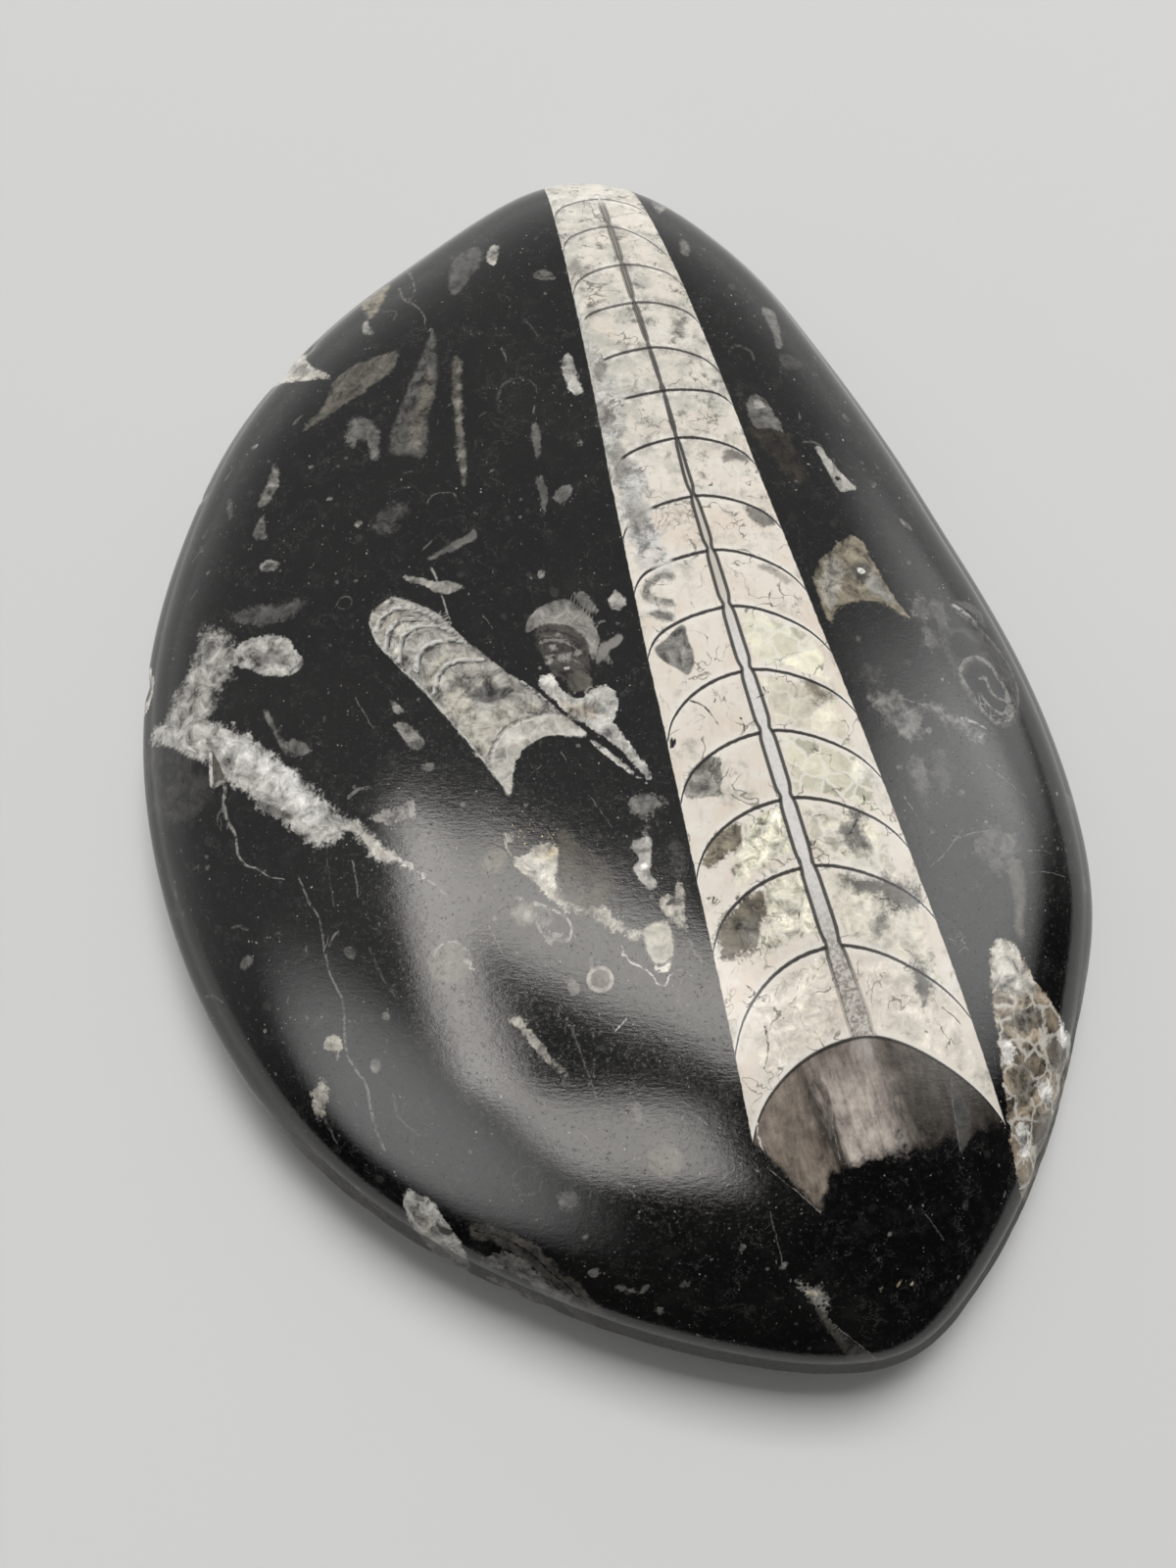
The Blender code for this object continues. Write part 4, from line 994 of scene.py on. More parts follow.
# %% Polish and chips
polish = np.ones(len(points))
height = points[:, 2]
turns = np.arctan2(points[:, 1], points[:, 0])
below_top = np.clip((RIM_HEIGHT - 0.15 - height) / 0.5, 0, 1)
flat_here = flat_share(turns)
polish -= below_top * flat_here
polish -= np.clip((WIDEST_HEIGHT + 0.9 - height) / 1.6, 0, 1) * (1 - flat_here)
polish = np.clip(polish, 0, 1)
polish[TOP_COUNT:] = 0
chip = np.zeros(len(points))
CHIPS = """
    -39.6,41.8,1.6,.9 -36.6,44.6,.9,.5 -53.2,1.2,1.2,.8 -10.2,-63.8,1.1,.7 -6.4,-65,.8,.5 46.9,-42.6,.9,.6
    43.6,-50.6,1,.6 -48.4,25,.6,.5 -24.9,-56.6,.9,.6
"""
for x, y, wide, deep in trace(CHIPS):
    away = np.hypot(points[:, 0] - x, points[:, 1] - y)
    chip = np.maximum(chip, deep * np.exp(-((away / wide) ** 2)))
print("polished corners:", int((polish > 0.9).sum()), "chipped corners:", int((chip > 0.2).sum()))

# %% Build the mesh with its attributes
skin = bpy.data.meshes.new("polished_slab")
shifted = points - (MIDDLE[0], MIDDLE[1], 0)
skin.from_pydata((shifted * MM).tolist(), [], quads.tolist() + fan.tolist())


def store(name, values, rest=0.0):
    """Keep one value, or one colour, for each corner of the skin."""
    colour = values.ndim == 2
    full = np.full((len(points), 4) if colour else len(points), rest, dtype=float)
    full[:len(values)] = values
    attribute = skin.attributes.new(name, "FLOAT_COLOR" if colour else "FLOAT", "POINT")
    attribute.data.foreach_set("color" if colour else "value", full.astype(np.float32).ravel())


depth_below = np.maximum(0, WIDEST_HEIGHT - points[:INLAID, 2]) * 0.9
for name in BEDS:
    store(name + "_edge", edges[name] - depth_below, FAR)
    store(name + "_tint", tints[name])
    store(name + "_finish", finishes[name])
store("cone_edge", cone_edge - depth_below, FAR)
for name, values, rest in (
    ("cone_along", cone_along, 0.0), ("cone_across", cone_across, 0.0), ("cone_chamber", cone_chamber, 0.0),
    ("chamber_height", chamber_height, 7.0), ("body_edge", body_edge, FAR), ("strip_edge", strip_edge, FAR),
    ("siphon_left", siphon_left, FAR), ("siphon_right", siphon_right, FAR), ("vein_across", vein_across, 9.0),
    ("vein_half", vein_half, -1.0), ("vein_tint", vein_tint, 0.0), ("polish", polish, 0.0), ("chip", chip, 0.0),
):
    store(name, values, rest)

sheet = skin.uv_layers.new(name="OFBake")
corner_of_loop = np.zeros(len(skin.loops), dtype=np.int32)
skin.loops.foreach_get("vertex_index", corner_of_loop)
loop_face = np.repeat(np.arange(len(skin.polygons)), [4] * len(quads) + [3] * len(fan))
top_faces = (side - 1) ** 2 + len(EDGE_SHARES) * SPOKES
on_top = loop_face < top_faces
top_place = top_flat[np.minimum(corner_of_loop, len(top_flat) - 1)]
flat_place = np.where(on_top[:, None], top_place, under_flat[corner_of_loop])
sheet.data.foreach_set("uv", flat_place.astype(np.float32).ravel())
skin.update()
print("skin:", len(skin.vertices), "corners,", len(skin.attributes), "attributes")

# %% [markdown]
# ## Worked surface
#
# No stone is as exact as a formula. Polishing leaves faint waves that bend the reflections, the underside
# keeps the roughness of the grinding wheel, and the rim is chipped in places. A Geometry Nodes tree moves the
# corners along their normals by rule, with a named input for each size, so the wear can be retuned without
# touching the form. A Displace modifier could add one noise, but not three that each know where they belong.

# %% Helpers for node trees
def step(kind, swapped=False):
    """One sum with wires, worked out by a Math node."""
    return lambda a, b=0.0: calc(kind, b, a) if swapped else calc(kind, a, b)


class Wire:
    """A value on its way through a node tree. Sums with wires are written like sums with numbers."""

    def __init__(self, tree, socket):
        self.tree, self.socket = tree, socket

    __add__, __radd__ = step("ADD"), step("ADD")
    __mul__, __rmul__ = step("MULTIPLY"), step("MULTIPLY")
    __sub__, __rsub__ = step("SUBTRACT"), step("SUBTRACT", True)
    __truediv__, __rtruediv__ = step("DIVIDE"), step("DIVIDE", True)
    __gt__, __lt__ = step("GREATER_THAN"), step("LESS_THAN")
    __pow__, __abs__, __round__ = step("POWER"), step("ABSOLUTE"), step("ROUND")


def add(tree, kind, inputs=None, out=0, **settings):
    """Add a node, set its options, and give each input a value or a wire. One output comes back as a wire."""
    node = tree.nodes.new(kind)
    for key, value in settings.items():
        setattr(node, key, value)
    for key, value in (inputs or {}).items():
        if isinstance(value, Wire):
            tree.links.new(value.socket, node.inputs[key])
        else:
            node.inputs[key].default_value = value
    return node if out is None else Wire(tree, node.outputs[out])


def add_all(tree, kind, inputs=None, **settings):
    """Add a node and give back all its outputs, to be found by name or by number."""
    node = add(tree, kind, inputs, None, **settings)
    return {key: Wire(tree, o) for number, o in enumerate(node.outputs) for key in (number, o.name)}


def tree_of(*values):
    """The tree that the wires among some values run through."""
    return next(value.tree for value in values if isinstance(value, Wire))


def calc(kind, a, b=0.0):
    return add(tree_of(a, b), "ShaderNodeMath", {0: a, 1: b}, operation=kind)


def times(vector, factor):
    return add(vector.tree, "ShaderNodeVectorMath", {0: vector, "Scale": factor}, operation="SCALE")


print("node helpers are ready")

# %% Geometry Nodes tree for the worked surface
stone_finish = bpy.data.materials.new("black_fossil_limestone")
worked = bpy.data.node_groups.new("worked surface", "GeometryNodeTree")
worked.is_modifier = True
worked.interface.new_socket("Geometry", in_out="INPUT", socket_type="NodeSocketGeometry")
WORK = {"Wave height": 0.14 * MM, "Wave size": 13 * MM, "Grinding depth": 0.22 * MM, "Grinding size": 3.2 * MM,
        "Chip depth": 0.42 * MM, "Seed": 4.0}
for label, value in WORK.items():
    worked.interface.new_socket(label, in_out="INPUT", socket_type="NodeSocketFloat").default_value = value
worked.interface.new_socket("Geometry", in_out="OUTPUT", socket_type="NodeSocketGeometry")
enter = add_all(worked, "NodeGroupInput")
place = add(worked, "GeometryNodeInputPosition")
normal = add(worked, "GeometryNodeInputNormal")


def kept(name):
    return add(worked, "GeometryNodeInputNamedAttribute", {"Name": name}, "Attribute", data_type="FLOAT")


def worked_noise(size, detail):
    inputs = {"Vector": place, "W": enter["Seed"], "Scale": 1.0 / size, "Detail": detail}
    return add(worked, "ShaderNodeTexNoise", inputs, noise_dimensions="4D") - 0.5


polished = kept("polish")
waves = worked_noise(enter["Wave size"], 0.5) * enter["Wave height"] * polished
marks = calc("MINIMUM", worked_noise(enter["Grinding size"], 4.0) - 0.35, 0.0)
marks = marks * (enter["Grinding depth"] * (1.0 - polished))
chips = kept("chip") * enter["Chip depth"] * -1.0
moved = {"Geometry": enter["Geometry"], "Offset": times(normal, waves + marks + chips)}
surface = add(worked, "GeometryNodeSetPosition", moved)
surface = add(worked, "GeometryNodeSetShadeSmooth", {"Geometry": surface, "Shade Smooth": True})
surface = add(worked, "GeometryNodeRealizeInstances", {"Geometry": surface})
surface = add(worked, "GeometryNodeSetMaterial", {"Geometry": surface, "Material": stone_finish})
add(worked, "NodeGroupOutput", {"Geometry": surface}, None)
print("worked surface tree:", len(worked.nodes), "nodes")

# %% Run the tree once and keep a plain mesh
draft = bpy.data.objects.new("slab_draft", skin)
bpy.context.scene.collection.objects.link(draft)
modifier = draft.modifiers.new("worked surface", "NODES")
modifier.node_group = worked
for item in worked.interface.items_tree:
    if item.in_out == "INPUT" and item.name == "Seed":
        modifier[item.identifier] = 7.0
evaluated = draft.evaluated_get(bpy.context.evaluated_depsgraph_get())
finished = bpy.data.meshes.new_from_object(evaluated)
draft.modifiers.remove(modifier)
bpy.data.objects.remove(draft, do_unlink=True)
stone = bpy.data.objects.new("polished_fossil_stone", finished)
bpy.context.scene.collection.objects.link(stone)
finished.materials.clear()
finished.materials.append(stone_finish)
triangles = sum(len(p.vertices) - 2 for p in finished.polygons)
size = [round(v / MM, 2) for v in stone.dimensions]
print("stone:", size, "mm,", triangles, "triangles,", [u.name for u in finished.uv_layers])

# %% [markdown]
# ## Black limestone
#
# The stone is a hardened sea-floor mud, black with carbon. Up close it isn't one black: it has clouds of
# slightly paler mud, a fine grain, thousands of white specks, and here and there a brown or brassy grain.
# A flat picture of stone would repeat and blur. Noise and cells in Object coordinates run through the solid at
# true size, so no seam shows on the rim.

# %% Helpers for the material
stone_finish.use_nodes = True
tree = stone_finish.node_tree
shader = tree.nodes["Principled BSDF"]


def read(name, output="Fac"):
    """A stored value of the skin."""
    return add(tree, "ShaderNodeAttribute", {}, output, attribute_name=name, attribute_type="GEOMETRY")


def ease(value, low, high, start=0.0, end=1.0):
    """A soft step between two values."""
    inputs = {"Value": value, "From Min": low, "From Max": high, "To Min": start, "To Max": end}
    return add(value.tree, "ShaderNodeMapRange", inputs, interpolation_type="SMOOTHSTEP")


def mix(amount, under, over):
    """Lay one colour over another."""
    under, over = ((*c, 1) if isinstance(c, tuple) else c for c in (under, over))
    return add(tree_of(amount, under), "ShaderNodeMix", {0: amount, 6: under, 7: over}, 2, data_type="RGBA")


def grain(spot, scale, detail=3.0, rough=0.55, bend=0.0, out=0):
    """Noise between 0 and 1, at a scale per millimetre."""
    inputs = {"Vector": spot, "Scale": scale, "Detail": detail, "Roughness": rough, "Distortion": bend}
    return add(spot.tree, "ShaderNodeTexNoise", inputs, out)


def clouds(under, tint, strength, where, noise, edge, only=1.0):
    """Lay a tint over a colour in soft patches, where a noise is high."""
    return mix(ease(grain(where, *noise), *edge) * only * strength, under, tint)


def cells(spot, scale, out="Distance", feature="F1"):
    return add(spot.tree, "ShaderNodeTexVoronoi", {"Vector": spot, "Scale": scale}, out, feature=feature)


def channels(colour):
    return add_all(colour.tree, "ShaderNodeSeparateColor", {0: colour})


def moved_by(vector, shift):
    return add(vector.tree, "ShaderNodeVectorMath", {0: vector, 1: shift}, operation="ADD")


def stretched(spot, degrees, size, shift=(0, 0, 0)):
    inputs = {0: spot, 1: shift, 2: (0, 0, math.radians(degrees)), 3: size}
    return add(tree, "ShaderNodeMapping", inputs, vector_type="POINT")


at = times(add(tree, "ShaderNodeTexCoord", out="Object"), 1000.0)
bent = moved_by(at, times(grain(at, 0.9, 3.0, 0.5, out=1), 0.7))
print("material helpers are ready")

# %% Black mud, clouds and specks
# The mud: two blacks in wide clouds, then paler patches and a fine grain.
rock = mix(ease(grain(at, 0.055, 4.0, 0.6), 0.42, 0.68), (0.0026, 0.0026, 0.0028), (0.006, 0.0059, 0.0057))
rock = clouds(rock, (0.018, 0.0176, 0.017), 0.6, bent, (0.42, 4.0, 0.65), (0.5, 0.78))
rock = clouds(rock, (0.06, 0.059, 0.056), 0.5, at, (3.4, 3.0, 0.7), (0.6, 0.82))
# Specks crowd together in some places and are rare in others.
crowd = ease(grain(at, 0.09, 3.0, 0.6), 0.38, 0.66, 0.35, 1.0)


def specks(under, scale, share, small, large, tint, strength, seed, turn=0.0, slender=1.0, only=crowd):
    """Scatter small grains: one per cell, kept where the cell's number is high. A slender grain is a shred."""
    spot = stretched(bent, turn, (1, 1 / slender, 1), (seed, seed * 0.7, seed * 1.3))
    number = channels(cells(spot, scale, "Color"))
    size = number[1] ** 2.5 * (large - small) + small
    edge = 1.0 - ease(cells(spot, scale) / scale / size, 0.6, 1.1)
    keep = ease(number[0], 1 - share, 1 - share + 0.02)
    return mix(edge * keep * (only * strength) * (number[2] * 0.8 + 0.35), under, tint)


for look in (
    (0.42, 0.3, 0.18, 0.7, (0.06, 0.0585, 0.055), 0.75, 3.0),
    (0.95, 0.26, 0.06, 0.28, (0.24, 0.235, 0.22), 0.9, 11.0),
    (2.1, 0.2, 0.04, 0.13, (0.42, 0.41, 0.39), 0.95, 23.0),
    (1.3, 0.035, 0.05, 0.13, (0.3, 0.2, 0.08), 0.9, 37.0),
    (0.8, 0.3, 0.05, 0.17, (0.2, 0.195, 0.18), 0.8, 51.0, 35, 5.0),
    (0.7, 0.28, 0.05, 0.17, (0.17, 0.165, 0.155), 0.8, 67.0, -50, 4.0),
    (1.5, 0.3, 0.04, 0.1, (0.24, 0.235, 0.22), 0.8, 83.0, 80, 4.0),
):
    rock = specks(rock, *look)
# Hair threads where a noise crosses its middle, then a broken lace of shell dust.
thread = ease(abs(grain(bent, 0.5, 6.0, 0.68, 0.6) - 0.5), 0.014, 0.0)
rock = clouds(rock, (0.15, 0.147, 0.142), 0.34, bent, (0.3, 4.0, 0.65), (0.47, 0.62), thread)
rock = clouds(rock, (0.11, 0.107, 0.1), 0.55, bent, (1.2, 6.0, 0.78), (0.6, 0.7), crowd)

# Brassy dust lies in one slanting band, so it is kept to a place along and across that slant.
DUST_X, DUST_Y = -5.5 - MIDDLE[0], -20.5 - MIDDLE[1]
here = add_all(tree, "ShaderNodeSeparateXYZ", {0: at})
dust_along = here[0] * 0.77 + here[1] * -0.64 - (0.77 * DUST_X - 0.64 * DUST_Y)
dust_across = here[0] * 0.64 + here[1] * 0.77 - (0.64 * DUST_X + 0.77 * DUST_Y)
brassy = ease(abs(dust_along), 9.0, 4.0) * ease(abs(dust_across), 2.6, 0.6)
rock = specks(rock, 2.6, 0.75, 0.05, 0.13, (0.62, 0.48, 0.22), 1.0, 97.0, only=brassy)
print("black mud:", len(tree.nodes), "nodes")

# %% [markdown]
# ## Calcite of the main cone
#
# The cone is cream calcite with faint growth bands, warmer and greyer clouds, and a white rim on every
# septum where the first crystals grew. The septa are drawn from the stored chamber numbers: each whole
# number is one septum, so its distance in millimetres is what is left after rounding times the height.

# %% Cream calcite and its stains
along, across = read("cone_along"), read("cone_across")
in_cone = ease(read("cone_edge") + (grain(at, 1.1, 3.0) - 0.5) * 0.22, -0.07, 0.07)
in_cone = in_cone * ease(read("body_edge") * -1.0, -0.06, 0.06)
# Two creams in wide clouds, milky growth, grey-green smudges and brown flaws.
cream = mix(ease(grain(at, 0.16, 4.0, 0.6), 0.4, 0.66), (0.79, 0.735, 0.655), (0.75, 0.665, 0.57))
cream = clouds(cream, (0.84, 0.82, 0.77), 0.7, bent, (0.33, 4.0, 0.6), (0.5, 0.72))
cream = clouds(cream, (0.33, 0.325, 0.285), 0.8, bent, (0.24, 5.0, 0.68), (0.53, 0.74))
cream = clouds(cream, (0.24, 0.22, 0.185), 0.65, bent, (0.75, 5.0, 0.72), (0.6, 0.75))
# Clefts are hair cracks: a noise's middle line, shown only in some regions.
cleft = ease(abs(grain(bent, 0.26, 3.0, 0.5, 0.6) - 0.5), 0.016, 0.003)
cleft = cleft * ease(grain(at, 0.22, 3.0, 0.6), 0.45, 0.57)
fibre = stretched(bent, 28, (1.6, 0.35, 1))
cream = clouds(cream, (0.5, 0.48, 0.43), 0.4, fibre, (0.8, 5.0, 0.7), (0.5, 0.74))
# Mud clouds the strip along the upper left wall.
muddy = ease((grain(at, 0.45, 4.0, 0.6) - 0.5) * 5.0 + read("strip_edge"), -0.5, 0.6)
mottle = mix(ease(grain(bent, 0.75, 6.0, 0.75), 0.4, 0.62), (0.66, 0.67, 0.66), (0.13, 0.135, 0.14))
cream = mix(muddy * 0.85, cream, mottle)
# The narrow end is greyer and sootier than the wide end.
upper = ease(along, -14.0, -34.0)
cream = clouds(cream, (0.37, 0.365, 0.325), 0.85, bent, (0.36, 5.0, 0.7), (0.42, 0.66), upper)
cream = mix(upper * 0.35, cream, (0.68, 0.665, 0.6))
far = ease(along, 2.0, -28.0)
cream = clouds(cream, (0.16, 0.155, 0.14), 0.85, bent, (0.45, 6.0, 0.74), (0.52, 0.66), far)
# The whole number nearest to the chamber value is the nearest septum.
chamber = read("cone_chamber")
from_septum = (chamber - round(chamber)) * read("chamber_height")
near_septum = 1.0 - ease(abs(from_septum), 0.35, 1.1)
cream = mix(near_septum * 0.6, cream, (0.86, 0.825, 0.77))
print("calcite:", len(tree.nodes), "nodes")

# %% [markdown]
# ## Smoky glass in the body chamber
#
# The filling of the living chamber runs in lanes along the cone: brown glass on the left, a clear pale lane
# beside it, then dark. Noise stretched along the cone streaks the lanes, and its lower edge is a broken line.

# %% Glass of the body chamber
in_wall = ease(read("cone_edge"), -0.07, 0.07)
in_body = in_wall * ease(read("body_edge"), -0.06, 0.06)
lane = add(tree, "ShaderNodeCombineXYZ", {0: across * 1.2, 1: along * 0.33})
leaning = (grain(lane, 0.3, 4.0, 0.65) - 0.5) * 7.0 + ((along - 48.0) * -0.12 + across)
glass = mix(ease(along, 43.5, 51.0), (0.1, 0.086, 0.073), (0.014, 0.0135, 0.013))
glass = mix(ease(leaning, -5.9, -7.9, 0.22, 1.0), glass, (0.215, 0.18, 0.15))
clear_lane = ease(leaning, -6.0, -4.2) * ease(leaning, 3.6, -1.4)
glass = mix(clear_lane * ease(along, 43.4, 48.0, 0.25, 1.0), glass, (0.43, 0.38, 0.34))
spill = ease(abs(across - 0.3), 1.7, 0.5) * ease(along, 48.5, 43.0)
glass = mix(spill * 0.8, glass, (0.42, 0.39, 0.355))
streak = (grain(bent, 0.55, 6.0, 0.7) - 0.5) * 2.0 + ((grain(lane, 1.0, 6.0, 0.7, 0.3) - 0.5) * 2.2 + 1.0)
glass = times(glass, calc("MINIMUM", calc("MAXIMUM", streak, 0.3), 1.8))
lowest = calc("MAXIMUM", abs(across + 8.0) * -1.8 + 57.8, 54.4)
lowest = calc("MINIMUM", lowest, across * 1.75 + 71.8)
in_glass = ease((grain(bent, 0.8, 5.0, 0.7) - 0.5) * 3.5 + lowest - along, -0.4, 1.1)
base = mix(in_body * in_glass, mix(in_cone, rock, cream), glass)
print("with the glass:", len(tree.nodes), "nodes")

# %% [markdown]
# ## One bed of inlays
#
# The three beds share one recipe, so it is a node group: fray the edge with noise, step softly across it,
# cloud the tint, split it into crystals where asked, and lay it over what is below. Copying the nodes three
# times would work too, but then a change has to be made three times.

# %% Node group for a bed
bed = bpy.data.node_groups.new("bed of inlays", "ShaderNodeTree")
for label, kind in (("Under", "Color"), ("Edge", "Float"), ("Tint", "Color"), ("Opacity", "Float"),
                    ("Finish", "Color"), ("Cloud", "Float"), ("Place", "Vector")):
    bed.interface.new_socket(label, in_out="INPUT", socket_type="NodeSocket" + kind)
for label, kind in (("Colour", "Color"), ("Cover", "Float")):
    bed.interface.new_socket(label, in_out="OUTPUT", socket_type="NodeSocket" + kind)
give = add_all(bed, "NodeGroupInput")
spot, tint = give["Place"], give["Tint"]
finish = channels(give["Finish"])
soft, ragged, crystal = finish[0], finish[1], finish[2]
fray = (grain(spot, 0.85, 4.0, 0.62) - 0.5) + (grain(spot, 3.2, 2.0) - 0.5) * 0.45
cover = ease(fray * (ragged * 3.2) + give["Edge"], soft * -1.0, soft) * give["Opacity"]
tone = (grain(spot, 0.6, 7.0, 0.7, 0.5) - 0.5) * (give["Cloud"] * 6.5) + 1.0
clouded = times(tint, calc("MINIMUM", calc("MAXIMUM", tone, 0.16), 2.2))
knots = moved_by(spot, times(grain(spot, 1.2, 2.0, 0.5, out=1), 0.9))
seam = 1.0 - ease(cells(knots, 0.44, feature="DISTANCE_TO_EDGE"), 0.015, 0.11)
facet = (channels(cells(knots, 0.44, "Color"))[0] - 0.6) * crystal * 0.75 + 1.0
veined = mix(seam * (crystal * 0.75), times(clouded, facet), mix(0.7, tint, (0.86, 0.85, 0.8)))
add(bed, "NodeGroupOutput", {"Colour": mix(cover, give["Under"], veined), "Cover": cover}, None)


def lay_bed(under, name):
    """Lay one bed over a colour. The answer is the new colour, and where the bed covers the old one."""
    tinted, finished_as = name + "_tint", name + "_finish"
    inputs = {"Under": under, "Edge": read(name + "_edge"), "Place": at,
              "Tint": read(tinted, "Color"), "Opacity": read(tinted, "Alpha"),
              "Finish": read(finished_as, "Color"), "Cloud": read(finished_as, "Alpha")}
    laid = add_all(tree, "ShaderNodeGroup", inputs, node_tree=bed)
    return laid["Colour"], laid["Cover"]


base, cover_low = lay_bed(base, "bed")
base, cover_mid = lay_bed(base, "shell")
base = mix(cleft * in_cone * 0.7, base, (0.1, 0.09, 0.075))
print("bed group:", len(bed.nodes), "nodes")

# %% Septa
wobble = (grain(at, 1.4, 2.0) - 0.5) * 0.16
line_away = abs(from_septum + wobble)
pinch = ease(along, 4.0, -26.0, 0.04, 0.2)
left, right = read("siphon_left") - pinch, read("siphon_right") - pinch
in_tube = ease(left, -0.02, 0.06) * ease(right, -0.02, 0.06)
seen = (chamber > FIRST_REAL - 0.5) * (chamber < BODY_CHAMBER - 0.5) * (in_cone * (1.0 - in_tube))
seen = seen * ((1.0 - ease(read("strip_edge"), -0.3, 0.5)) * 0.9 + 0.1)
septum = (1.0 - ease(line_away, 0.12, 0.28)) * seen * ease(along, -64.0, -24.0, 0.65, 0.97)
smoky = ease(line_away, 1.7, 0.1) * in_cone * ease(along, -6.0, -28.0, 0.0, 0.75)
base = clouds(base, (0.2, 0.185, 0.16), 1.0, bent, (0.5, 5.0, 0.7), (0.4, 0.64), smoky)
base = mix(septum, base, (0.02, 0.018, 0.016))
rim_line = in_wall * ease(abs(read("body_edge") - 0.1), 0.3, 0.08)
base = mix(rim_line * 0.85, base, (0.014, 0.013, 0.012))
print("with the septa:", len(tree.nodes), "nodes")

# %% Siphuncle, flecks and veins over the beds
tube = mix(ease(grain(at, 2.6, 4.0, 0.7), 0.42, 0.75), (0.74, 0.72, 0.7), (0.6, 0.58, 0.56))
speckled = mix(ease(grain(at, 2.2, 4.0, 0.75), 0.4, 0.62), (0.62, 0.585, 0.545), (0.25, 0.225, 0.2))
tube = mix(ease(along, 24.0, 38.0), tube, speckled)
tube = mix(ease(along, 3.0, -8.0), tube, (0.56, 0.52, 0.465))
tube = mix(ease(along, -18.0, -40.0), tube, (0.3, 0.28, 0.25))
tube_shown = in_cone * ease(along, -63.5, -61.0)
base = mix(in_tube * tube_shown, base, tube)
wall = calc("MAXIMUM", 1.0 - ease(abs(left), 0.12, 0.28), 1.0 - ease(abs(right), 0.12, 0.28)) * tube_shown
wall = wall * (ease(along, 33.0, 40.0, 0.92, 0.35) * ease(along, -60.0, -22.0, 0.62, 1.0))
base = mix(wall, base, (0.018, 0.0175, 0.017))
base = lay_bed(base, "fleck")[0]
thin = ease(read("vein_half") - abs(read("vein_across") + wobble * 2.4), -0.05, 0.05)
thin = thin * read("vein_tint", "Alpha")
broken = ease(grain(at, 1.5, 4.0, 0.65), 0.38, 0.56, 0.12, 1.0)
base = mix(thin * broken, base, read("vein_tint", "Color"))
print("surface colour:", len(tree.nodes), "nodes")

# %% [markdown]
# ## Polish
#
# Polished limestone mirrors softly, because calcite is a gentle mineral and its polish is never glass. The
# calcite takes it a little less than the black mud. The ground flat and the underside never met the polisher,
# so they are rough and greyed by dust. Roughness and a very low bump follow the same stored values.

# %% Roughness and fine bump
unpolished = 1.0 - read("polish")
dust = mix(ease(grain(at, 1.6, 4.0, 0.6), 0.35, 0.7), (0.007, 0.0069, 0.0067), (0.022, 0.0215, 0.0205))
base = mix(unpolished * 0.6, base, dust)
calcite = calc("MAXIMUM", in_cone, calc("MAXIMUM", cover_low, cover_mid))
pinholes = ease(grain(at, 2.2, 7.0, 0.82), 0.53, 0.7)
dull = ease(grain(bent, 1.6, 6.0, 0.75), 0.5, 0.7)
rough = grain(at, 0.12, 3.0, 0.6) * 0.07 + 0.045
rough = rough + calcite * 0.06 + pinholes * 0.4 + dull * 0.1 + unpolished * 0.5
pits = grain(at, 4.0, 3.0, 0.6) * (unpolished + 0.022)
brushed = stretched(at, 38, (0.55, 1.8, 1))
peel = grain(at, 0.8, 3.0, 0.5) * 0.03 + grain(brushed, 1.7, 5.0, 0.65) * (calcite * -0.02 + 0.042) + pits
bump = add(tree, "ShaderNodeBump", {"Strength": 0.5, "Distance": 0.0004, "Height": peel})
for name, wire in (("Base Color", times(base, 0.88)), ("Roughness", rough), ("Normal", bump)):
    tree.links.new(wire.socket, shader.inputs[name])
for name, value in (("Metallic", 0.0), ("IOR", 1.6), ("Specular IOR Level", 0.5)):
    shader.inputs[name].default_value = value
print("stone material:", len(tree.nodes), "nodes")

# %% [markdown]
# ## Floor, light and camera
#
# A polished stone is only half made by its colour: the other half is what it mirrors. A pale floor fills the
# rim, and three ceiling strips with a gap between them give the bright bent frame on the near half. The strips
# are for the mirror only. A high, wide window beyond the far end does the lighting and lays a short soft
# shadow on the near side. Soft glows in the room lift the flanks. They belong to the world and not to lamps,
# because a lamp has a hard edge and a glow needs none, and only mirrored rays meet them, so the shadow under
# the rim stays dark. The rest of the room is dim, so the black stays black.

# %% Pale floor
FLOOR, BELOW = 6.0, -0.00004
floor_mesh = bpy.data.meshes.new("pale_floor")
floor_corners = [(x * FLOOR, y * FLOOR, BELOW) for x, y in ((-1, -1), (1, -1), (1, 1), (-1, 1))]
floor_mesh.from_pydata(floor_corners, [], [(0, 1, 2, 3)])
floor = bpy.data.objects.new("pale_floor", floor_mesh)
bpy.context.scene.collection.objects.link(floor)
floor_finish = bpy.data.materials.new("pale_floor")
floor_finish.use_nodes = True
floor_shader = floor_finish.node_tree.nodes["Principled BSDF"]
floor_shader.inputs["Base Color"].default_value = (0.575, 0.58, 0.578, 1)
floor_shader.inputs["Roughness"].default_value = 0.6
floor_mesh.materials.append(floor_finish)
print("floor:", 2 * FLOOR, "m wide")

# %% Lamps
scene = bpy.context.scene


def lamp(name, place, size, turns, radiance, tint, lights, mirrored):
    """A rectangular lamp, in metres and with a chosen brightness. It lights the stone or is mirrored in it."""
    light = bpy.data.lights.new(name, "AREA")
    light.shape = "RECTANGLE"
    light.size, light.size_y = size
    light.energy = radiance * math.pi * size[0] * size[1]
    light.color = tint
    body = bpy.data.objects.new(name, light)
    body.location = place
    body.rotation_euler = turns
    body.visible_diffuse, body.visible_glossy = lights, mirrored
    scene.collection.objects.link(body)


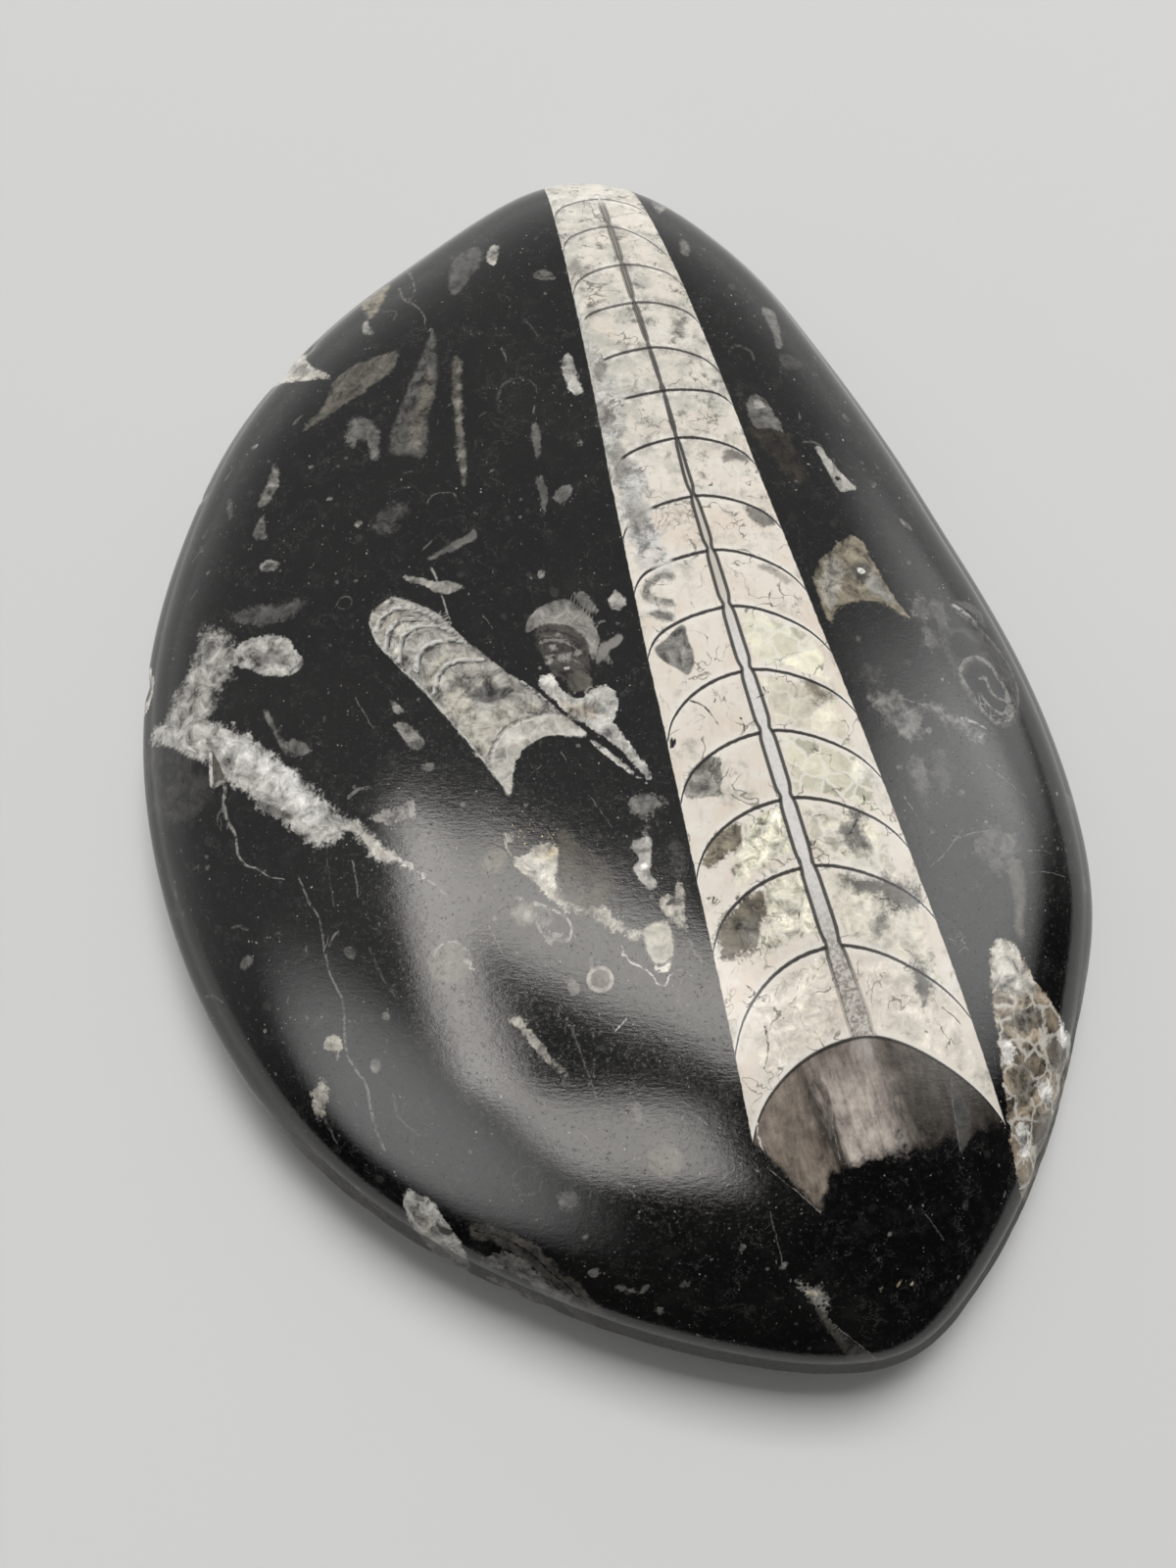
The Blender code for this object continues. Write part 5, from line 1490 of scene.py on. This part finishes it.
WARM = (1.0, 0.965, 0.915)
CEILING = 2.5
for name, middle, size, turn, radiance in (
    ("strip_left", (-0.705, -0.265), (0.31, 1.43), 0, 6.3),
    ("strip_near", (-0.215, -1.1), (0.83, 0.58), 18, 4.8),
    ("strip_far", (-0.04, -0.02), (1.16, 0.5), -27, 5.0),
):
    lamp(name, (*middle, CEILING), size, (0, 0, math.radians(turn)), radiance, WARM, False, True)

WINDOW_AWAY, WINDOW_TURN, WINDOW_RISE = 3, math.radians(84), math.radians(55)
level, up = WINDOW_AWAY * math.cos(WINDOW_RISE), WINDOW_AWAY * math.sin(WINDOW_RISE)
window_place = (level * math.cos(WINDOW_TURN), level * math.sin(WINDOW_TURN), up)
window_turns = (math.pi / 2 - WINDOW_RISE, 0, WINDOW_TURN + math.pi / 2)
lamp("far_window", window_place, (1.7, 1.2), window_turns, 15.6, (1.0, 0.985, 0.965), True, False)

# %% Room
sky = bpy.data.worlds.new("dim_room")
scene.world = sky
sky.use_nodes = True
room = sky.node_tree
heading = add(room, "ShaderNodeTexCoord", out="Generated")
facing = add_all(room, "ShaderNodeSeparateXYZ", {0: heading})
sideways = facing[0] * -0.35 + facing[1]
room_light = ease(sideways, -0.42, 0.2, 0.02, 0.4)
room_light = room_light + ease(facing[2], 0.0, 0.5, 0.45, 0.0) * ease(sideways, 0.0, 0.6)


def glow(azimuth, elevation, core, reach, strength):
    """A soft bright spot of the room: full within one angle of its middle, gone past another."""
    a, e, core, reach = (math.radians(angle) for angle in (azimuth, elevation, core, reach))
    middle = (math.cos(e) * math.cos(a), math.cos(e) * math.sin(a), math.sin(e))
    near_it = add(room, "ShaderNodeVectorMath", {0: heading, 1: middle}, "Value", operation="DOT_PRODUCT")
    return ease(near_it, math.cos(reach), math.cos(core), 0.0, strength)


glows = glow(13, 44, 6, 25, 2.8) + glow(-136, 45, 5, 25, 2.5) + glow(30, 22, 4, 22, 1.4)
room_light = glows * add(room, "ShaderNodeLightPath", out="Is Glossy Ray") + room_light
background = room.nodes["Background"].inputs
room.links.new(room_light.socket, background["Strength"])
background["Color"].default_value = (0.99, 0.99, 0.98, 1)
scene.view_settings.view_transform = "Standard"
print("a room of", len(room.nodes), "nodes")

# %% Camera
lens = bpy.data.cameras.new("camera")
lens.lens = 26
lens.sensor_width = 36
lens.sensor_fit = "AUTO"
lens.clip_start = 0.005
camera = bpy.data.objects.new("camera", lens)
camera.location = ((-2.16 - MIDDLE[0]) * MM, (-45.45 - MIDDLE[1]) * MM, 129.5 * MM)
camera.rotation_euler = (math.radians(16), 0, 0)
scene.collection.objects.link(camera)
scene.camera = camera
print("camera", [round(v / MM, 1) for v in camera.location], "mm, looking down 74 degrees")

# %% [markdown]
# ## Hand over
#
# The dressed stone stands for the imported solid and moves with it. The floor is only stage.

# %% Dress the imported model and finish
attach(stone, "root")
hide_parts("polished_stone")
